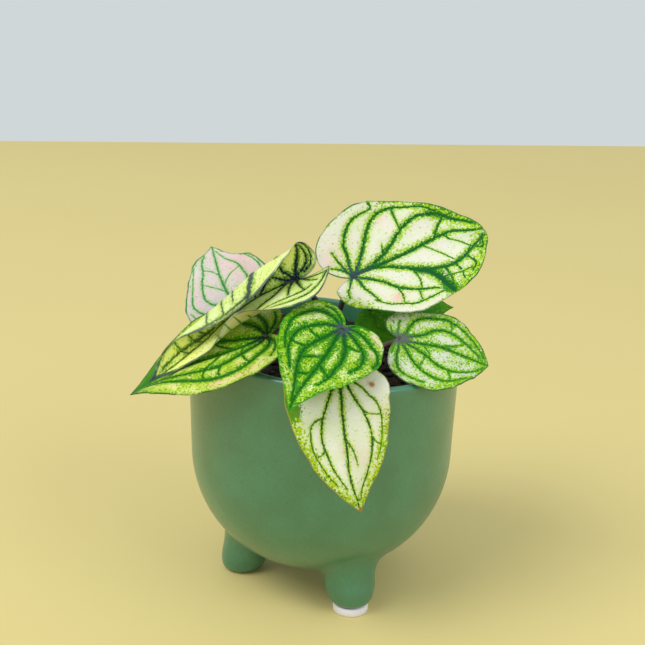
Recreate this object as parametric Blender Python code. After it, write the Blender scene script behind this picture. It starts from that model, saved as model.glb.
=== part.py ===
"""Potted caladium: eight leaves with rolled and waved margins in a round pot on three feet.

Drawn in millimetres about the pot's axis with the floor at height 0, then scaled to metres
and moved by POT_AXIS, so that the middle of the whole plant's footprint is the origin.
"""
import math

import bpy
import bmesh
from mathutils import Vector

# Scale of the drawing, and where the pot's axis stands in the finished part (mm)
MM = 0.001
POT_AXIS = Vector((6.2, 14.7, 0.0))

# Pot body: a round belly up to the widest height, a nearly straight wall above it (mm)
BELLY_RADIUS = 64.0
BELLY_TOP = 70.2
BELLY_BOTTOM = 13.9
BELLY_POWER_UP = 1.83
BELLY_POWER_OUT = 2.63
RIM_RADIUS = 65.6
RIM_HEIGHT = 127.0
WALL = 4.5
FLOOR_THICKNESS = 5.5
RIM_ROUND = 1.8
SIDES = 40
BELLY_STEPS = 10
WALL_STEPS = 4

# The rim is out of level: it drops towards +X, and the lean fades out below this height
RIM_LEAN = 0.093
LEAN_START = 80.0

# Three stubby feet that splay outwards; the front one is shorter and has a pad under it (mm)
FOOT_CIRCLE = 39.4
FOOT_TURNS = (24.4, -95.6, 144.4)
FOOT_BOTTOMS = (4.4, 0.0, 0.0)
FOOT_SPLAY = 0.23
FOOT_PROFILE = ((0.0, 0.0), (7.0, 0.0), (9.3, 0.8), (10.7, 2.6), (11.4, 6.0), (11.7, 12.0),
                (12.3, 18.0), (13.4, 23.0), (15.0, 27.0), (17.0, 31.0), (18.5, 34.0))
FOOT_TOP = 34.0
FOOT_SIDES = 20
PAD_RADIUS = 8.5
PAD_HEIGHT = 4.1
PAD_EDGE = 0.8

# Soil, clear of the pot by the fitting gap; its top leans a little with the rim (mm)
GAP = 0.3
SOIL_TOP = 118.0
SOIL_LEAN = 0.05
SOIL_RINGS = 6
CLODS = ((0.9, 9.0, 0.4, 17.0, 1.3), (0.7, 23.0, 2.1, 11.0, 0.2), (0.5, 31.0, 4.0, 28.0, 2.6))
HOLE_RADIUS = 2.25
HOLE_SIDES = 12
STEM_DEPTH = 9.0

# Blades and stems (mm)
BLADE = 0.6
STEM_TOP_RADIUS = 1.25
STEM_FOOT_RADIUS = 1.8
STEM_SIDES = 8
STEM_STEPS = 10
STEM_PROUD = 0.7

# Each leaf. The junction is where the stem meets the blade and the midrib starts from it:
# heading is its turn from +X towards +Y, rise its slope upwards, roll its tilt about itself.
# A side is: how far back its lobe reaches, how far out the lobe is, where along the midrib it
# is widest, its half width, and how full it stays towards the tip. A fold is the side's angle
# at the midrib in degrees and its added bend in degrees a mm. Droop, back droop and sweep bend
# the midrib in degrees a mm, and the droop's second value is added over every 100 mm. A wave is
# a height in mm and a phase in degrees, three and six times round the margin.
LEAVES = {
    "leaf_top_right": {
        "junction": (13.5, 2.0, 157.7), "heading": 15.0, "rise": 24.0, "roll": 44.0,
        "length": 66.5, "notch": 2.6, "tip_reach": 0.30, "tip_angle": 93.0,
        "left": (11.6, 15.7, 18.8, 30.8, 0.10), "right": (11.3, 5.4, 26.0, 39.6, 0.85),
        "fold_left": (9.2, 0.13), "fold_right": (29.3, -0.18),
        "droop": (0.11, -0.19), "back_droop": 0.96, "sweep": -0.16,
        "waves": ((-3.6, 35.0), (2.2, 54.0)), "rays": 40, "rings": 6,
        "foot": (4.0, 4.0), "arrival": (0.43, -0.06, 0.90), "reach": (14.0, 12.0)},
    "leaf_back_left": {
        "junction": (-40.5, 0.9, 139.3), "heading": 147.2, "rise": 43.2, "roll": -57.9,
        "length": 47.5, "notch": 4.3, "tip_reach": 0.43, "tip_angle": 18.5,
        "left": (8.2, 10.1, 5.0, 24.9, 0.28), "right": (10.1, 12.1, 4.5, 23.7, 0.49),
        "fold_left": (31.2, 0.07), "fold_right": (8.1, 0.08),
        "droop": (1.16, 0.27), "back_droop": 0.0, "sweep": -0.29,
        "waves": ((0.95, 328.0), (1.07, 14.0)), "rays": 34, "rings": 6,
        "foot": (-12.0, 6.0), "arrival": (-0.70, -0.30, 0.65), "reach": (13.0, 16.0)},
    "leaf_folded": {
        "junction": (-13.8, -22.2, 162.4), "heading": 186.8, "rise": -15.5, "roll": -1.0,
        "length": 82.9, "notch": 2.9, "tip_reach": 0.12, "tip_angle": -8.0,
        "left": (17.9, 6.6, 9.4, 26.6, 0.50), "right": (14.9, 9.3, 10.4, 26.9, 0.53),
        "fold_left": (1.6, -0.37), "fold_right": (53.0, 5.01),
        "curl_right": (3.74, -9.2, 38.6), "roll_left": (10.72, 42.5, 17.6, 9.1), "twist": -0.27,
        "droop": (0.83, -0.86), "back_droop": -1.52, "sweep": 0.35,
        "waves": ((0.0, 0.0), (1.27, -60.5)), "rays": 42, "rings": 10,
        "foot": (3.5, -5.0), "arrival": (-0.69, -0.40, 0.60), "reach": (14.0, 18.0)},
    "leaf_lower_left": {
        "junction": (-27.2, -41.1, 141.5), "heading": 187.5, "rise": -18.6, "roll": -21.5,
        "length": 68.7, "notch": 3.3, "tip_reach": 0.42, "tip_angle": 43.0,
        "left": (8.5, 11.5, 11.8, 26.1, 0.39), "right": (11.4, 14.3, 20.0, 25.1, 0.71),
        "fold_left": (10.9, -0.17), "fold_right": (3.4, -0.06),
        "droop": (0.29, 0.05), "back_droop": -0.11, "sweep": -0.11,
        "waves": ((2.6, -5.0), (0.29, -56.0)), "rays": 38, "rings": 6,
        "foot": (-6.0, -14.0), "arrival": (-0.60, -0.62, 0.50), "reach": (10.0, 15.0)},
    "leaf_centre": {
        "junction": (7.6, -47.0, 147.5), "heading": 246.2, "rise": -10.55, "roll": -16.4,
        "length": 55.0, "notch": 4.0, "tip_reach": 0.28, "tip_angle": 30.5,
        "left": (9.0, 12.8, 9.9, 22.8, 0.40), "right": (12.5, 11.8, 3.5, 23.7, 0.62),
        "fold_left": (-4.1, -0.25), "fold_right": (7.2, 0.10),
        "droop": (0.72, -1.35), "back_droop": 0.14, "sweep": 0.08,
        "waves": ((2.71, 93.0), (1.18, -74.0)), "rays": 38, "rings": 6,
        "foot": (6.0, -18.0), "arrival": (0.05, -0.70, 0.71), "reach": (14.0, 15.0)},
    "leaf_front": {
        "junction": (6.9, -60.1, 131.9), "heading": 271.9, "rise": -35.2, "roll": -8.0,
        "length": 63.0, "notch": 3.9, "tip_reach": 0.34, "tip_angle": 41.0,
        "left": (6.15, 12.4, 4.9, 22.6, 0.62), "right": (9.7, 13.7, 6.65, 25.4, 0.47),
        "fold_left": (-2.1, -0.17), "fold_right": (5.2, -0.06),
        "droop": (0.79, -0.33), "back_droop": 0.06, "sweep": 0.42,
        "waves": ((-0.09, 78.0), (0.7, 72.0)), "rays": 38, "rings": 6,
        "foot": (4.0, -30.0), "arrival": (0.05, -0.85, 0.53), "reach": (9.0, 13.0)},
    "leaf_right": {
        "junction": (34.9, -30.1, 138.2), "heading": -11.3, "rise": -9.85, "roll": 40.35,
        "length": 42.4, "notch": 1.5, "tip_reach": 0.35, "tip_angle": 62.5,
        "left": (9.1, 7.1, 20.1, 17.5, 0.45), "right": (3.3, 9.6, 15.3, 23.7, 0.51),
        "fold_left": (1.9, -0.05), "fold_right": (8.5, 0.02),
        "droop": (0.31, -0.04), "back_droop": -0.09, "sweep": 0.06,
        "waves": ((1.08, 122.6), (-0.88, 7.4)), "rays": 34, "rings": 6,
        "foot": (18.0, -14.0), "arrival": (0.56, -0.58, 0.59), "reach": (9.0, 12.0)},
    "leaf_green_back": {
        "junction": (22.1, 4.0, 140.9), "heading": 4.0, "rise": 4.0, "roll": 38.0,
        "length": 40.5, "notch": 3.5, "tip_reach": 0.35, "tip_angle": 23.0,
        "left": (9.0, 9.0, 9.0, 17.0, 0.50), "right": (9.0, 11.0, 9.0, 20.0, 0.50),
        "fold_left": (8.6, 0.0), "fold_right": (-5.7, 0.0),
        "droop": (0.17, 0.00), "back_droop": 0.0, "sweep": 0.0,
        "waves": ((0.8, 40.0), (0.4, 0.0)), "rays": 30, "rings": 5,
        "foot": (13.0, 8.0), "arrival": (0.60, -0.16, 0.78), "reach": (8.0, 9.0)},
}

# Flat display colours
POT_GREEN = (0.33, 0.40, 0.31, 1.0)
PAD_WHITE = (0.80, 0.79, 0.75, 1.0)
SOIL_BROWN = (0.035, 0.024, 0.017, 1.0)
LEAF_COLOURS = {
    "leaf_top_right": (0.62, 0.60, 0.46, 1.0),
    "leaf_back_left": (0.68, 0.48, 0.46, 1.0),
    "leaf_folded": (0.60, 0.60, 0.36, 1.0),
    "leaf_lower_left": (0.42, 0.50, 0.17, 1.0),
    "leaf_centre": (0.25, 0.38, 0.16, 1.0),
    "leaf_front": (0.62, 0.60, 0.34, 1.0),
    "leaf_right": (0.50, 0.56, 0.36, 1.0),
    "leaf_green_back": (0.07, 0.16, 0.05, 1.0),
}

BEND_STEPS = 20


def remove_everything():
    for thing in list(bpy.data.objects):
        bpy.data.objects.remove(thing, do_unlink=True)


def material(name, colour, roughness):
    mat = bpy.data.materials.new(name)
    mat.use_nodes = True
    shader = mat.node_tree.nodes["Principled BSDF"]
    shader.inputs["Base Color"].default_value = colour
    shader.inputs["Roughness"].default_value = roughness
    mat.diffuse_color = colour
    return mat


def finished_object(name, bm, mat):
    """Scale the drawing to metres, move it to its place and make it an object."""
    bmesh.ops.recalc_face_normals(bm, faces=bm.faces)
    for vert in bm.verts:
        vert.co = (vert.co + POT_AXIS) * MM
    for face in bm.faces:
        face.smooth = True
    mesh = bpy.data.meshes.new(name)
    bm.to_mesh(mesh)
    bm.free()
    thing = bpy.data.objects.new(name, mesh)
    if mat is not None:
        thing.data.materials.append(mat)
    bpy.context.scene.collection.objects.link(thing)
    return thing


def cutter(name, bm):
    thing = finished_object(name, bm, None)
    thing.hide_render = True
    thing.display_type = "WIRE"
    return thing


def combine(target, tool, operation):
    """Join or cut with the tool, and keep the tool as a hidden wire."""
    step = target.modifiers.new(tool.name, "BOOLEAN")
    step.operation = operation
    step.solver = "EXACT"
    step.object = tool


def smooth_step(value):
    value = min(max(value, 0.0), 1.0)
    return value * value * (3.0 - 2.0 * value)


def lathe(bm, profile, sides, start=0.0):
    """Turn a profile of radius and height; a radius of 0 at either end closes on the axis."""
    rings = []
    for radius, height in profile:
        if radius == 0.0:
            rings.append([bm.verts.new((0.0, 0.0, height))])
            continue
        ring = []
        for step in range(sides):
            turn = start + math.tau * step / sides
            ring.append(bm.verts.new((radius * math.cos(turn), radius * math.sin(turn), height)))
        rings.append(ring)
    for low, high in zip(rings, rings[1:]):
        for step in range(sides):
            after = (step + 1) % sides
            if len(low) == 1:
                bm.faces.new((low[0], high[after], high[step]))
            elif len(high) == 1:
                bm.faces.new((low[step], low[after], high[0]))
            else:
                bm.faces.new((low[step], low[after], high[after], high[step]))


def belly(inset, floor):
    """Radius and height up the round belly, drawn in by an inset and raised by a floor."""
    points = []
    for step in range(BELLY_STEPS + 1):
        turn = 0.5 * math.pi * step / BELLY_STEPS
        depth = (BELLY_TOP - BELLY_BOTTOM - floor) * math.cos(turn) ** (2.0 / BELLY_POWER_UP)
        radius = (BELLY_RADIUS - inset) * math.sin(turn) ** (2.0 / BELLY_POWER_OUT)
        points.append((radius, BELLY_TOP - depth))
    points[0] = (0.0, BELLY_BOTTOM + floor)
    return points


def wall_radius(height, inset):
    part = (height - BELLY_TOP) / (RIM_HEIGHT - BELLY_TOP)
    return BELLY_RADIUS + (RIM_RADIUS - BELLY_RADIUS) * part - inset


def straight_wall(top, inset):
    """Radius and height from the belly's top to a level, without the first point."""
    points = []
    for step in range(1, WALL_STEPS + 1):
        height = BELLY_TOP + (top - BELLY_TOP) * step / WALL_STEPS
        points.append((wall_radius(height, inset), height))
    return points


def lean_rim(bm):
    for vert in bm.verts:
        part = (vert.co.z - LEAN_START) / (RIM_HEIGHT - LEAN_START)
        vert.co.z -= RIM_LEAN * vert.co.x * smooth_step(part)


def outer_pot():
    profile = belly(0.0, 0.0) + straight_wall(RIM_HEIGHT - RIM_ROUND, 0.0)
    centre = wall_radius(RIM_HEIGHT, RIM_ROUND)
    for turn in (30.0, 60.0, 90.0):
        angle = math.radians(turn)
        profile.append((centre + RIM_ROUND * math.cos(angle),
                        RIM_HEIGHT - RIM_ROUND + RIM_ROUND * math.sin(angle)))
    profile.append((0.0, RIM_HEIGHT))
    bm = bmesh.new()
    lathe(bm, profile, SIDES)
    lean_rim(bm)
    return bm


def inner_pot():
    """The hollow, flared where it rounds the rim's inner edge, and carried on above the rim."""
    profile = belly(WALL, FLOOR_THICKNESS) + straight_wall(RIM_HEIGHT - RIM_ROUND, WALL)
    centre = wall_radius(RIM_HEIGHT, WALL) + RIM_ROUND
    for turn in (30.0, 60.0, 90.0):
        angle = math.radians(turn)
        profile.append((centre - RIM_ROUND * math.cos(angle),
                        RIM_HEIGHT - RIM_ROUND + RIM_ROUND * math.sin(angle)))
    above = RIM_HEIGHT + 4.0
    profile.append((centre, above))
    profile.append((0.0, above))
    bm = bmesh.new()
    lathe(bm, profile, SIDES)
    lean_rim(bm)
    return bm


def foot_centre(turn):
    """Middle of a foot's sole; the turn counts from the front towards +X."""
    angle = math.radians(turn)
    return Vector((FOOT_CIRCLE * math.sin(angle), -FOOT_CIRCLE * math.cos(angle), 0.0))


def foot(turn, bottom):
    """One foot, its sole flat on the level given and its axis leaning in as it rises."""
    stretch = (FOOT_TOP - bottom) / FOOT_TOP
    profile = [(radius, bottom + height * stretch) for radius, height in FOOT_PROFILE]
    profile.append((0.0, FOOT_TOP))
    bm = bmesh.new()
    lathe(bm, profile, FOOT_SIDES)
    centre = foot_centre(turn)
    inwards = -centre.normalized()
    for vert in bm.verts:
        vert.co += centre + inwards * FOOT_SPLAY * (vert.co.z - bottom)
    return bm


def make_pot():
    pot = finished_object("pot", outer_pot(), material("pot_ceramic", POT_GREEN, 0.55))
    for number, (turn, bottom) in enumerate(zip(FOOT_TURNS, FOOT_BOTTOMS), 1):
        combine(pot, cutter(f"foot_tool_{number}", foot(turn, bottom)), "UNION")
    combine(pot, cutter("hollow_tool", inner_pot()), "DIFFERENCE")


def make_foot_pad():
    """The white pad between the floor and the short front foot."""
    profile = ((0.0, 0.0), (PAD_RADIUS - PAD_EDGE, 0.0), (PAD_RADIUS, PAD_EDGE),
               (PAD_RADIUS, PAD_HEIGHT - PAD_EDGE), (PAD_RADIUS - PAD_EDGE, PAD_HEIGHT),
               (0.0, PAD_HEIGHT))
    bm = bmesh.new()
    lathe(bm, profile, FOOT_SIDES)
    bmesh.ops.translate(bm, verts=bm.verts, vec=foot_centre(FOOT_TURNS[0]))
    finished_object("foot_pad", bm, material("pad_felt", PAD_WHITE, 0.9))


def soil_level(x, y):
    """Height of the lumpy soil top at a point of the drawing."""
    level = SOIL_TOP - SOIL_LEAN * x
    for height, wave_x, phase_x, wave_y, phase_y in CLODS:
        level += height * math.sin(x * wave_x / 100.0 + phase_x) * math.sin(y * wave_y / 100.0 + phase_y)
    return level


def soil_body():
    profile = belly(WALL + GAP, FLOOR_THICKNESS + GAP) + straight_wall(SOIL_TOP, WALL + GAP)
    edge = profile[-1][0]
    top_from = len(profile) - 1
    for ring in range(1, SOIL_RINGS):
        profile.append((edge * (1.0 - ring / SOIL_RINGS), SOIL_TOP))
    profile.append((0.0, SOIL_TOP))
    bm = bmesh.new()
    lathe(bm, profile, SIDES)
    bm.verts.ensure_lookup_table()
    top_verts = [vert for vert in bm.verts if abs(vert.co.z - profile[top_from][1]) < 0.001]
    for vert in top_verts:
        vert.co.z = soil_level(vert.co.x, vert.co.y)
    bmesh.ops.triangulate(bm, faces=[face for face in bm.faces if face.verts[0] in top_verts])
    return bm


def stem_hole(spec):
    x, y = spec["foot"]
    top = soil_level(x, y)
    bottom = top - STEM_DEPTH - GAP
    profile = ((0.0, bottom), (HOLE_RADIUS, bottom), (HOLE_RADIUS, top + 4.0), (0.0, top + 4.0))
    bm = bmesh.new()
    lathe(bm, profile, HOLE_SIDES)
    bmesh.ops.translate(bm, verts=bm.verts, vec=(x, y, 0.0))
    return bm


def make_soil():
    soil = finished_object("soil", soil_body(), material("potting_soil", SOIL_BROWN, 0.95))
    for name, spec in LEAVES.items():
        combine(soil, cutter(f"hole_for_{name}", stem_hole(spec)), "DIFFERENCE")


def bezier(points, part):
    """A point on the cubic curve through four control points."""
    rest = 1.0 - part
    weights = (rest ** 3, 3.0 * rest ** 2 * part, 3.0 * rest * part ** 2, part ** 3)
    total = points[0] * weights[0]
    for point, weight in zip(points[1:], weights[1:]):
        total = total + point * weight
    return total


def half_outline(side, spec):
    """Outline of one half, from the notch round the back lobe to the tip, on its + side."""
    back, lobe, wide_at, half_width, full = side
    length = spec["length"]
    notch_point = Vector((-spec["notch"], 0.0))
    lobe_point = Vector((-back, lobe))
    wide_point = Vector((wide_at, half_width))
    tip = Vector((length, 0.0))
    ahead = length - wide_at
    lean = math.radians(spec["tip_angle"])
    out = Vector((lobe_point.x - notch_point.x, 0.35 * lobe))
    spans = (
        (notch_point, notch_point + 0.45 * out, lobe_point - Vector((0.0, 0.55 * lobe)), lobe_point),
        (lobe_point, lobe_point + Vector((0.0, 0.6 * (half_width - lobe))),
         wide_point - Vector((0.6 * (wide_at + back), 0.0)), wide_point),
        (wide_point, wide_point + Vector((full * ahead, 0.0)),
         tip + spec["tip_reach"] * ahead * Vector((-math.cos(lean), math.sin(lean))), tip),
    )
    points = [notch_point]
    for span in spans:
        for step in range(1, 25):
            points.append(bezier(span, step / 24.0))
    return points


def lengths_along(points):
    total = [0.0]
    for before, after in zip(points, points[1:]):
        total.append(total[-1] + (after - before).length)
    return total


def spread(points, count):
    """The same line with evenly spaced points, and how far along each lies."""
    lengths = lengths_along(points)
    line = []
    at = 0
    for step in range(count + 1):
        want = lengths[-1] * step / count
        while at < len(points) - 2 and lengths[at + 1] < want:
            at += 1
        part = (want - lengths[at]) / (lengths[at + 1] - lengths[at])
        line.append((points[at].lerp(points[at + 1], min(part, 1.0)), want))
    return line


def margin(spec):
    """Points round the blade with the share of the way round, from the notch and back to it."""
    left = half_outline(spec["left"], spec)
    right = half_outline(spec["right"], spec)
    left_length = lengths_along(left)[-1]
    right_length = lengths_along(right)[-1]
    whole = left_length + right_length
    half = spec["rays"] // 2
    points = []
    for point, along in spread(left, half):
        points.append((point, along / whole))
    for point, along in reversed(spread(right, half)[1:-1]):
        points.append((Vector((point.x, -point.y)), (left_length + right_length - along) / whole))
    return points


def margin_wave(spec, share):
    (three, three_phase), (six, six_phase) = spec["waves"]
    swing = three * math.sin(3.0 * math.tau * share + math.radians(three_phase))
    swing += six * math.sin(6.0 * math.tau * share + math.radians(six_phase))
    return swing * math.sqrt(max(math.sin(math.pi * share), 0.0))


def cross_bend(spec, u, across, left):
    """Angle of the blade's cross-section at a distance from the midrib."""
    start, more = spec["fold_left"] if left else spec["fold_right"]
    angle = math.radians(start + more * across)
    if not left and "curl_right" in spec:
        curl, ramp_from, ramp_to = spec["curl_right"]
        angle += math.radians(curl) * smooth_step((u - ramp_from) / (ramp_to - ramp_from)) * across
    if left and "roll_left" in spec:
        roll, centre, width, beyond = spec["roll_left"]
        angle += (math.radians(roll) * math.exp(-((u - centre) / width) ** 2)
                  * max(across - beyond, 0.0))
    return angle


def leaf_frame(spec):
    """Directions along the midrib, to its left and out of the upper face."""
    heading = math.radians(spec["heading"])
    rise = math.radians(spec["rise"])
    roll = math.radians(spec["roll"])
    along = Vector((math.cos(heading) * math.cos(rise), math.sin(heading) * math.cos(rise),
                    math.sin(rise)))
    up = Vector((-math.cos(heading) * math.sin(rise), -math.sin(heading) * math.sin(rise),
                 math.cos(rise)))
    left = up.cross(along)
    return (along, math.cos(roll) * left + math.sin(roll) * up,
            -math.sin(roll) * left + math.cos(roll) * up)


def blade_point(spec, u, v, wave):
    """Carry a point of the flat outline onto the bent, folded and waved blade."""
    across = 0.0
    above = wave
    for step in range(BEND_STEPS):
        angle = cross_bend(spec, u, abs(v) * (step + 0.5) / BEND_STEPS, v >= 0.0)
        across += v * math.cos(angle) / BEND_STEPS
        above += abs(v) * math.sin(angle) / BEND_STEPS
    twist = math.radians(spec.get("twist", 0.0)) * max(u, 0.0)
    across, above = (across * math.cos(twist) - above * math.sin(twist),
                     across * math.sin(twist) + above * math.cos(twist))
    droop, more = spec["droop"] if u >= 0.0 else (spec["back_droop"], 0.0)
    droop, more = math.radians(droop), math.radians(more) / 100.0
    sweep = math.radians(spec["sweep"])
    base = Vector((0.0, 0.0, 0.0))
    for step in range(BEND_STEPS):
        at = u * (step + 0.5) / BEND_STEPS
        down = (droop + more * at) * at
        base += Vector((math.cos(down) * math.cos(sweep * at),
                        math.cos(down) * math.sin(sweep * at),
                        -math.sin(down))) * (u / BEND_STEPS)
    bend, turn = (droop + more * u) * u, sweep * u
    sideways = Vector((-math.sin(turn), math.cos(turn), 0.0))
    outwards = Vector((math.sin(bend) * math.cos(turn), math.sin(bend) * math.sin(turn),
                       math.cos(bend)))
    local = base + across * sideways + above * outwards
    along, left, up = leaf_frame(spec)
    return Vector(spec["junction"]) + local.x * along + local.y * left + local.z * up


def blade_sheet(spec):
    """The blade's middle surface, as triangles that fan out from the junction in rings."""
    bm = bmesh.new()
    middle = bm.verts.new(blade_point(spec, 0.0, 0.0, 0.0))
    rays = margin(spec)
    rings = []
    for ring in range(1, spec["rings"] + 1):
        part = ring / spec["rings"]
        row = []
        for point, share in rays:
            wave = margin_wave(spec, share) * part ** 2.5
            row.append(bm.verts.new(blade_point(spec, point.x * part, point.y * part, wave)))
        rings.append(row)
    count = len(rays)
    for step in range(count):
        after = (step + 1) % count
        bm.faces.new((middle, rings[0][after], rings[0][step]))
        for inner, outer in zip(rings, rings[1:]):
            bm.faces.new((inner[step], inner[after], outer[after]))
            bm.faces.new((inner[step], outer[after], outer[step]))
    return bm


def stem_line(spec):
    """Middle line of the stem, from its foot in the soil up into the blade."""
    x, y = spec["foot"]
    level = soil_level(x, y)
    ground = Vector((x, y, level + 1.0))
    junction = Vector(spec["junction"])
    arrival = Vector(spec["arrival"]).normalized()
    low, high = spec["reach"]
    control = (ground, ground + Vector((0.0, 0.0, low)), junction - arrival * high, junction)
    line = [Vector((x, y, level - STEM_DEPTH))]
    for step in range(STEM_STEPS + 1):
        line.append(bezier(control, step / STEM_STEPS))
    line.append(junction + arrival * STEM_PROUD)
    return line


def stem_tube(spec):
    """A tapered tube along the stem's line, round and closed at both ends."""
    line = stem_line(spec)
    bm = bmesh.new()
    rings = []
    side = Vector((1.0, 0.0, 0.0))
    for number, point in enumerate(line):
        before = line[max(number - 1, 0)]
        after = line[min(number + 1, len(line) - 1)]
        ahead = (after - before).normalized()
        side = (side - ahead * side.dot(ahead)).normalized()
        other = ahead.cross(side)
        part = number / (len(line) - 1)
        radius = STEM_FOOT_RADIUS + (STEM_TOP_RADIUS - STEM_FOOT_RADIUS) * part
        ring = []
        for step in range(STEM_SIDES):
            turn = math.tau * step / STEM_SIDES
            ring.append(bm.verts.new(point + radius * (math.cos(turn) * side + math.sin(turn) * other)))
        rings.append(ring)
    for low, high in zip(rings, rings[1:]):
        for step in range(STEM_SIDES):
            after = (step + 1) % STEM_SIDES
            bm.faces.new((low[step], low[after], high[after], high[step]))
    bm.faces.new(list(reversed(rings[0])))
    bm.faces.new(rings[-1])
    return bm


def make_leaf(name, spec):
    """A blade of even thickness and its stem, grown as one."""
    leaf = finished_object(name, blade_sheet(spec), material(f"{name}_skin", LEAF_COLOURS[name], 0.6))
    thicken = leaf.modifiers.new("thickness", "SOLIDIFY")
    thicken.thickness = BLADE * MM
    thicken.offset = 0.0
    thicken.use_even_offset = True
    combine(leaf, cutter(f"stem_of_{name}", stem_tube(spec)), "UNION")


def build():
    remove_everything()
    make_pot()
    make_foot_pad()
    make_soil()
    for name, spec in LEAVES.items():
        make_leaf(name, spec)


build()
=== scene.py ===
"""Looks of a potted caladium: eight patterned leaves in a sage green pot on three feet."""
import math
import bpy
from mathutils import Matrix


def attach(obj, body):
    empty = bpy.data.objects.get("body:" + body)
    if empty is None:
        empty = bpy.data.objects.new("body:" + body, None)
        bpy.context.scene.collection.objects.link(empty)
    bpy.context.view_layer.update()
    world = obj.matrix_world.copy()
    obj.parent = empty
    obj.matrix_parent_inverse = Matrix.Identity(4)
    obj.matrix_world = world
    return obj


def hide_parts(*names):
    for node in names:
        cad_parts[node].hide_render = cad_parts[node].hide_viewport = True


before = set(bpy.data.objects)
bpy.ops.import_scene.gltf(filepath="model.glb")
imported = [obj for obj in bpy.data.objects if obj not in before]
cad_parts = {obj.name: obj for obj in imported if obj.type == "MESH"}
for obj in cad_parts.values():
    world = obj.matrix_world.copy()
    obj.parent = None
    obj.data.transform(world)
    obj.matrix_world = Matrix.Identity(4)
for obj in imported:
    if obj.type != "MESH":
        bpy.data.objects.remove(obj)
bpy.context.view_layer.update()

from types import SimpleNamespace

import bmesh
import bpy
import numpy as np
from bpy.props import FloatProperty, FloatVectorProperty, IntProperty, PointerProperty
from mathutils import Matrix, Vector, noise

bl_info = {
    "name": "Potted caladium",
    "version": (1, 0, 0),
    "blender": (4, 5, 0),
    "location": "3D View > Sidebar > Caladium",
    "description": "Makes a potted caladium: pot, pad, soil, leaves, stems and the stage",
    "category": "Object",
}

# Everything is drawn in millimetres about the pot's axis, then scaled and moved to its place
MM = 0.001
POT_AXIS = np.array((6.2, 14.7, 0.0))

# Pot body: a round belly up to the widest height, a nearly straight wall above it, and a rim
# rounded in steps (degrees) that drops a little for every mm to the right (mm)
BELLY_RADIUS = 64.0
BELLY_TOP = 70.2
BELLY_BOTTOM = 13.9
BELLY_POWER_UP = 1.83
BELLY_POWER_OUT = 2.63
RIM_RADIUS = 65.6
RIM_HEIGHT = 127.0
WALL = 4.5
FLOOR_THICKNESS = 5.5
RIM_LEAN = 0.093
LEAN_START = 80.0
RIM_TURNS = (25.0, 50.0, 72.0, 90.0, 108.0, 130.0, 155.0)
OUTSIDE_STEPS = 30
INSIDE_STEPS = 18
WALL_LEVELS = 15

# Three stubby feet that splay outwards, the front one first; it is shorter and has a pad under it.
# A foot's opening in the belly is a circle round its axis. From there the foot runs through a
# fillet to its neck, then down a column of radii and heights above its sole (mm)
FOOT_CIRCLE = 39.4
FOOT_TURNS = (24.4, -95.6, 144.4)
FOOT_BOTTOMS = (4.4, 0.0, 0.0)
FOOT_SPLAY = 0.23
FOOT_ROOT = 17.0
FOOT_OPENING = 19.0
OPENING_SPARE = 1.5
FOOT_NECKS = (12.6, 12.2, 12.2)
NECK_HEIGHT = 8.5
FILLET_TOP = 6.5
FILLET_FOOT = 7.0
FILLET_PARTS = (0.12, 0.24, 0.37, 0.5, 0.63, 0.76, 0.88, 1.0)
RELAX_RINGS = 4
RELAX_ROUNDS = 10
FOOT_COLUMN = ((11.7, 6.2), (11.3, 4.4), (10.7, 2.7), (9.7, 1.3), (8.2, 0.4), (6.0, 0.0), (3.0, 0.0))
PAD_RADIUS = 8.5
PAD_HEIGHT = 4.1
PAD_EDGE = 0.8
PAD_SIDES = 72

# Soil: its level and lean, its gap to the pot's wall, the depth of its plug, and its clods as a
# height, then a wave and a phase each way; how deep the stems reach into it (mm)
SOIL_TOP = 118.0
SOIL_LEAN = 0.05
SOIL_GAP = 0.35
SOIL_DEPTH = 13.0
SOIL_RINGS = 60
SOIL_SIDES = 180
GRAIN_SEED = 7
CLODS = ((0.9, 9.0, 0.4, 17.0, 1.3), (0.7, 23.0, 2.1, 11.0, 0.2), (0.5, 31.0, 4.0, 28.0, 2.6))
STEM_DEPTH = 9.0

# Stems: radius at the foot and how much thinner they are at the blade (mm), and their steps
STEM_RADIUS = 1.8
STEM_TAPER = 0.55
STEM_STEPS = 40
STEM_SIDES = 16

# Camera: its place and angles (mm, degrees), and its lens on a 36 mm sensor
CAMERA_PLACE = (5.1, -597.0, 342.5)
CAMERA_DOWN = 18.76
CAMERA_ROLL = 1.6
CAMERA_LENS = 75.0

# The floor, in metres and degrees, turned so that its far edge lies nearly level in the picture
FLOOR_REACH = 1.13
FLOOR_TURN = 5.7

# The two lights, both aimed at the plant: place and size in metres, and colour
LIGHT_TARGET = (0.0, 0.0, 0.08)
LIGHTS = {"key": ((-1.35, -1.0, 2.2), 1.8, (1.0, 1.0, 0.98)),
          "fill": ((1.6, -1.4, 1.5), 1.6, (0.94, 0.98, 1.0))}

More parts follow.
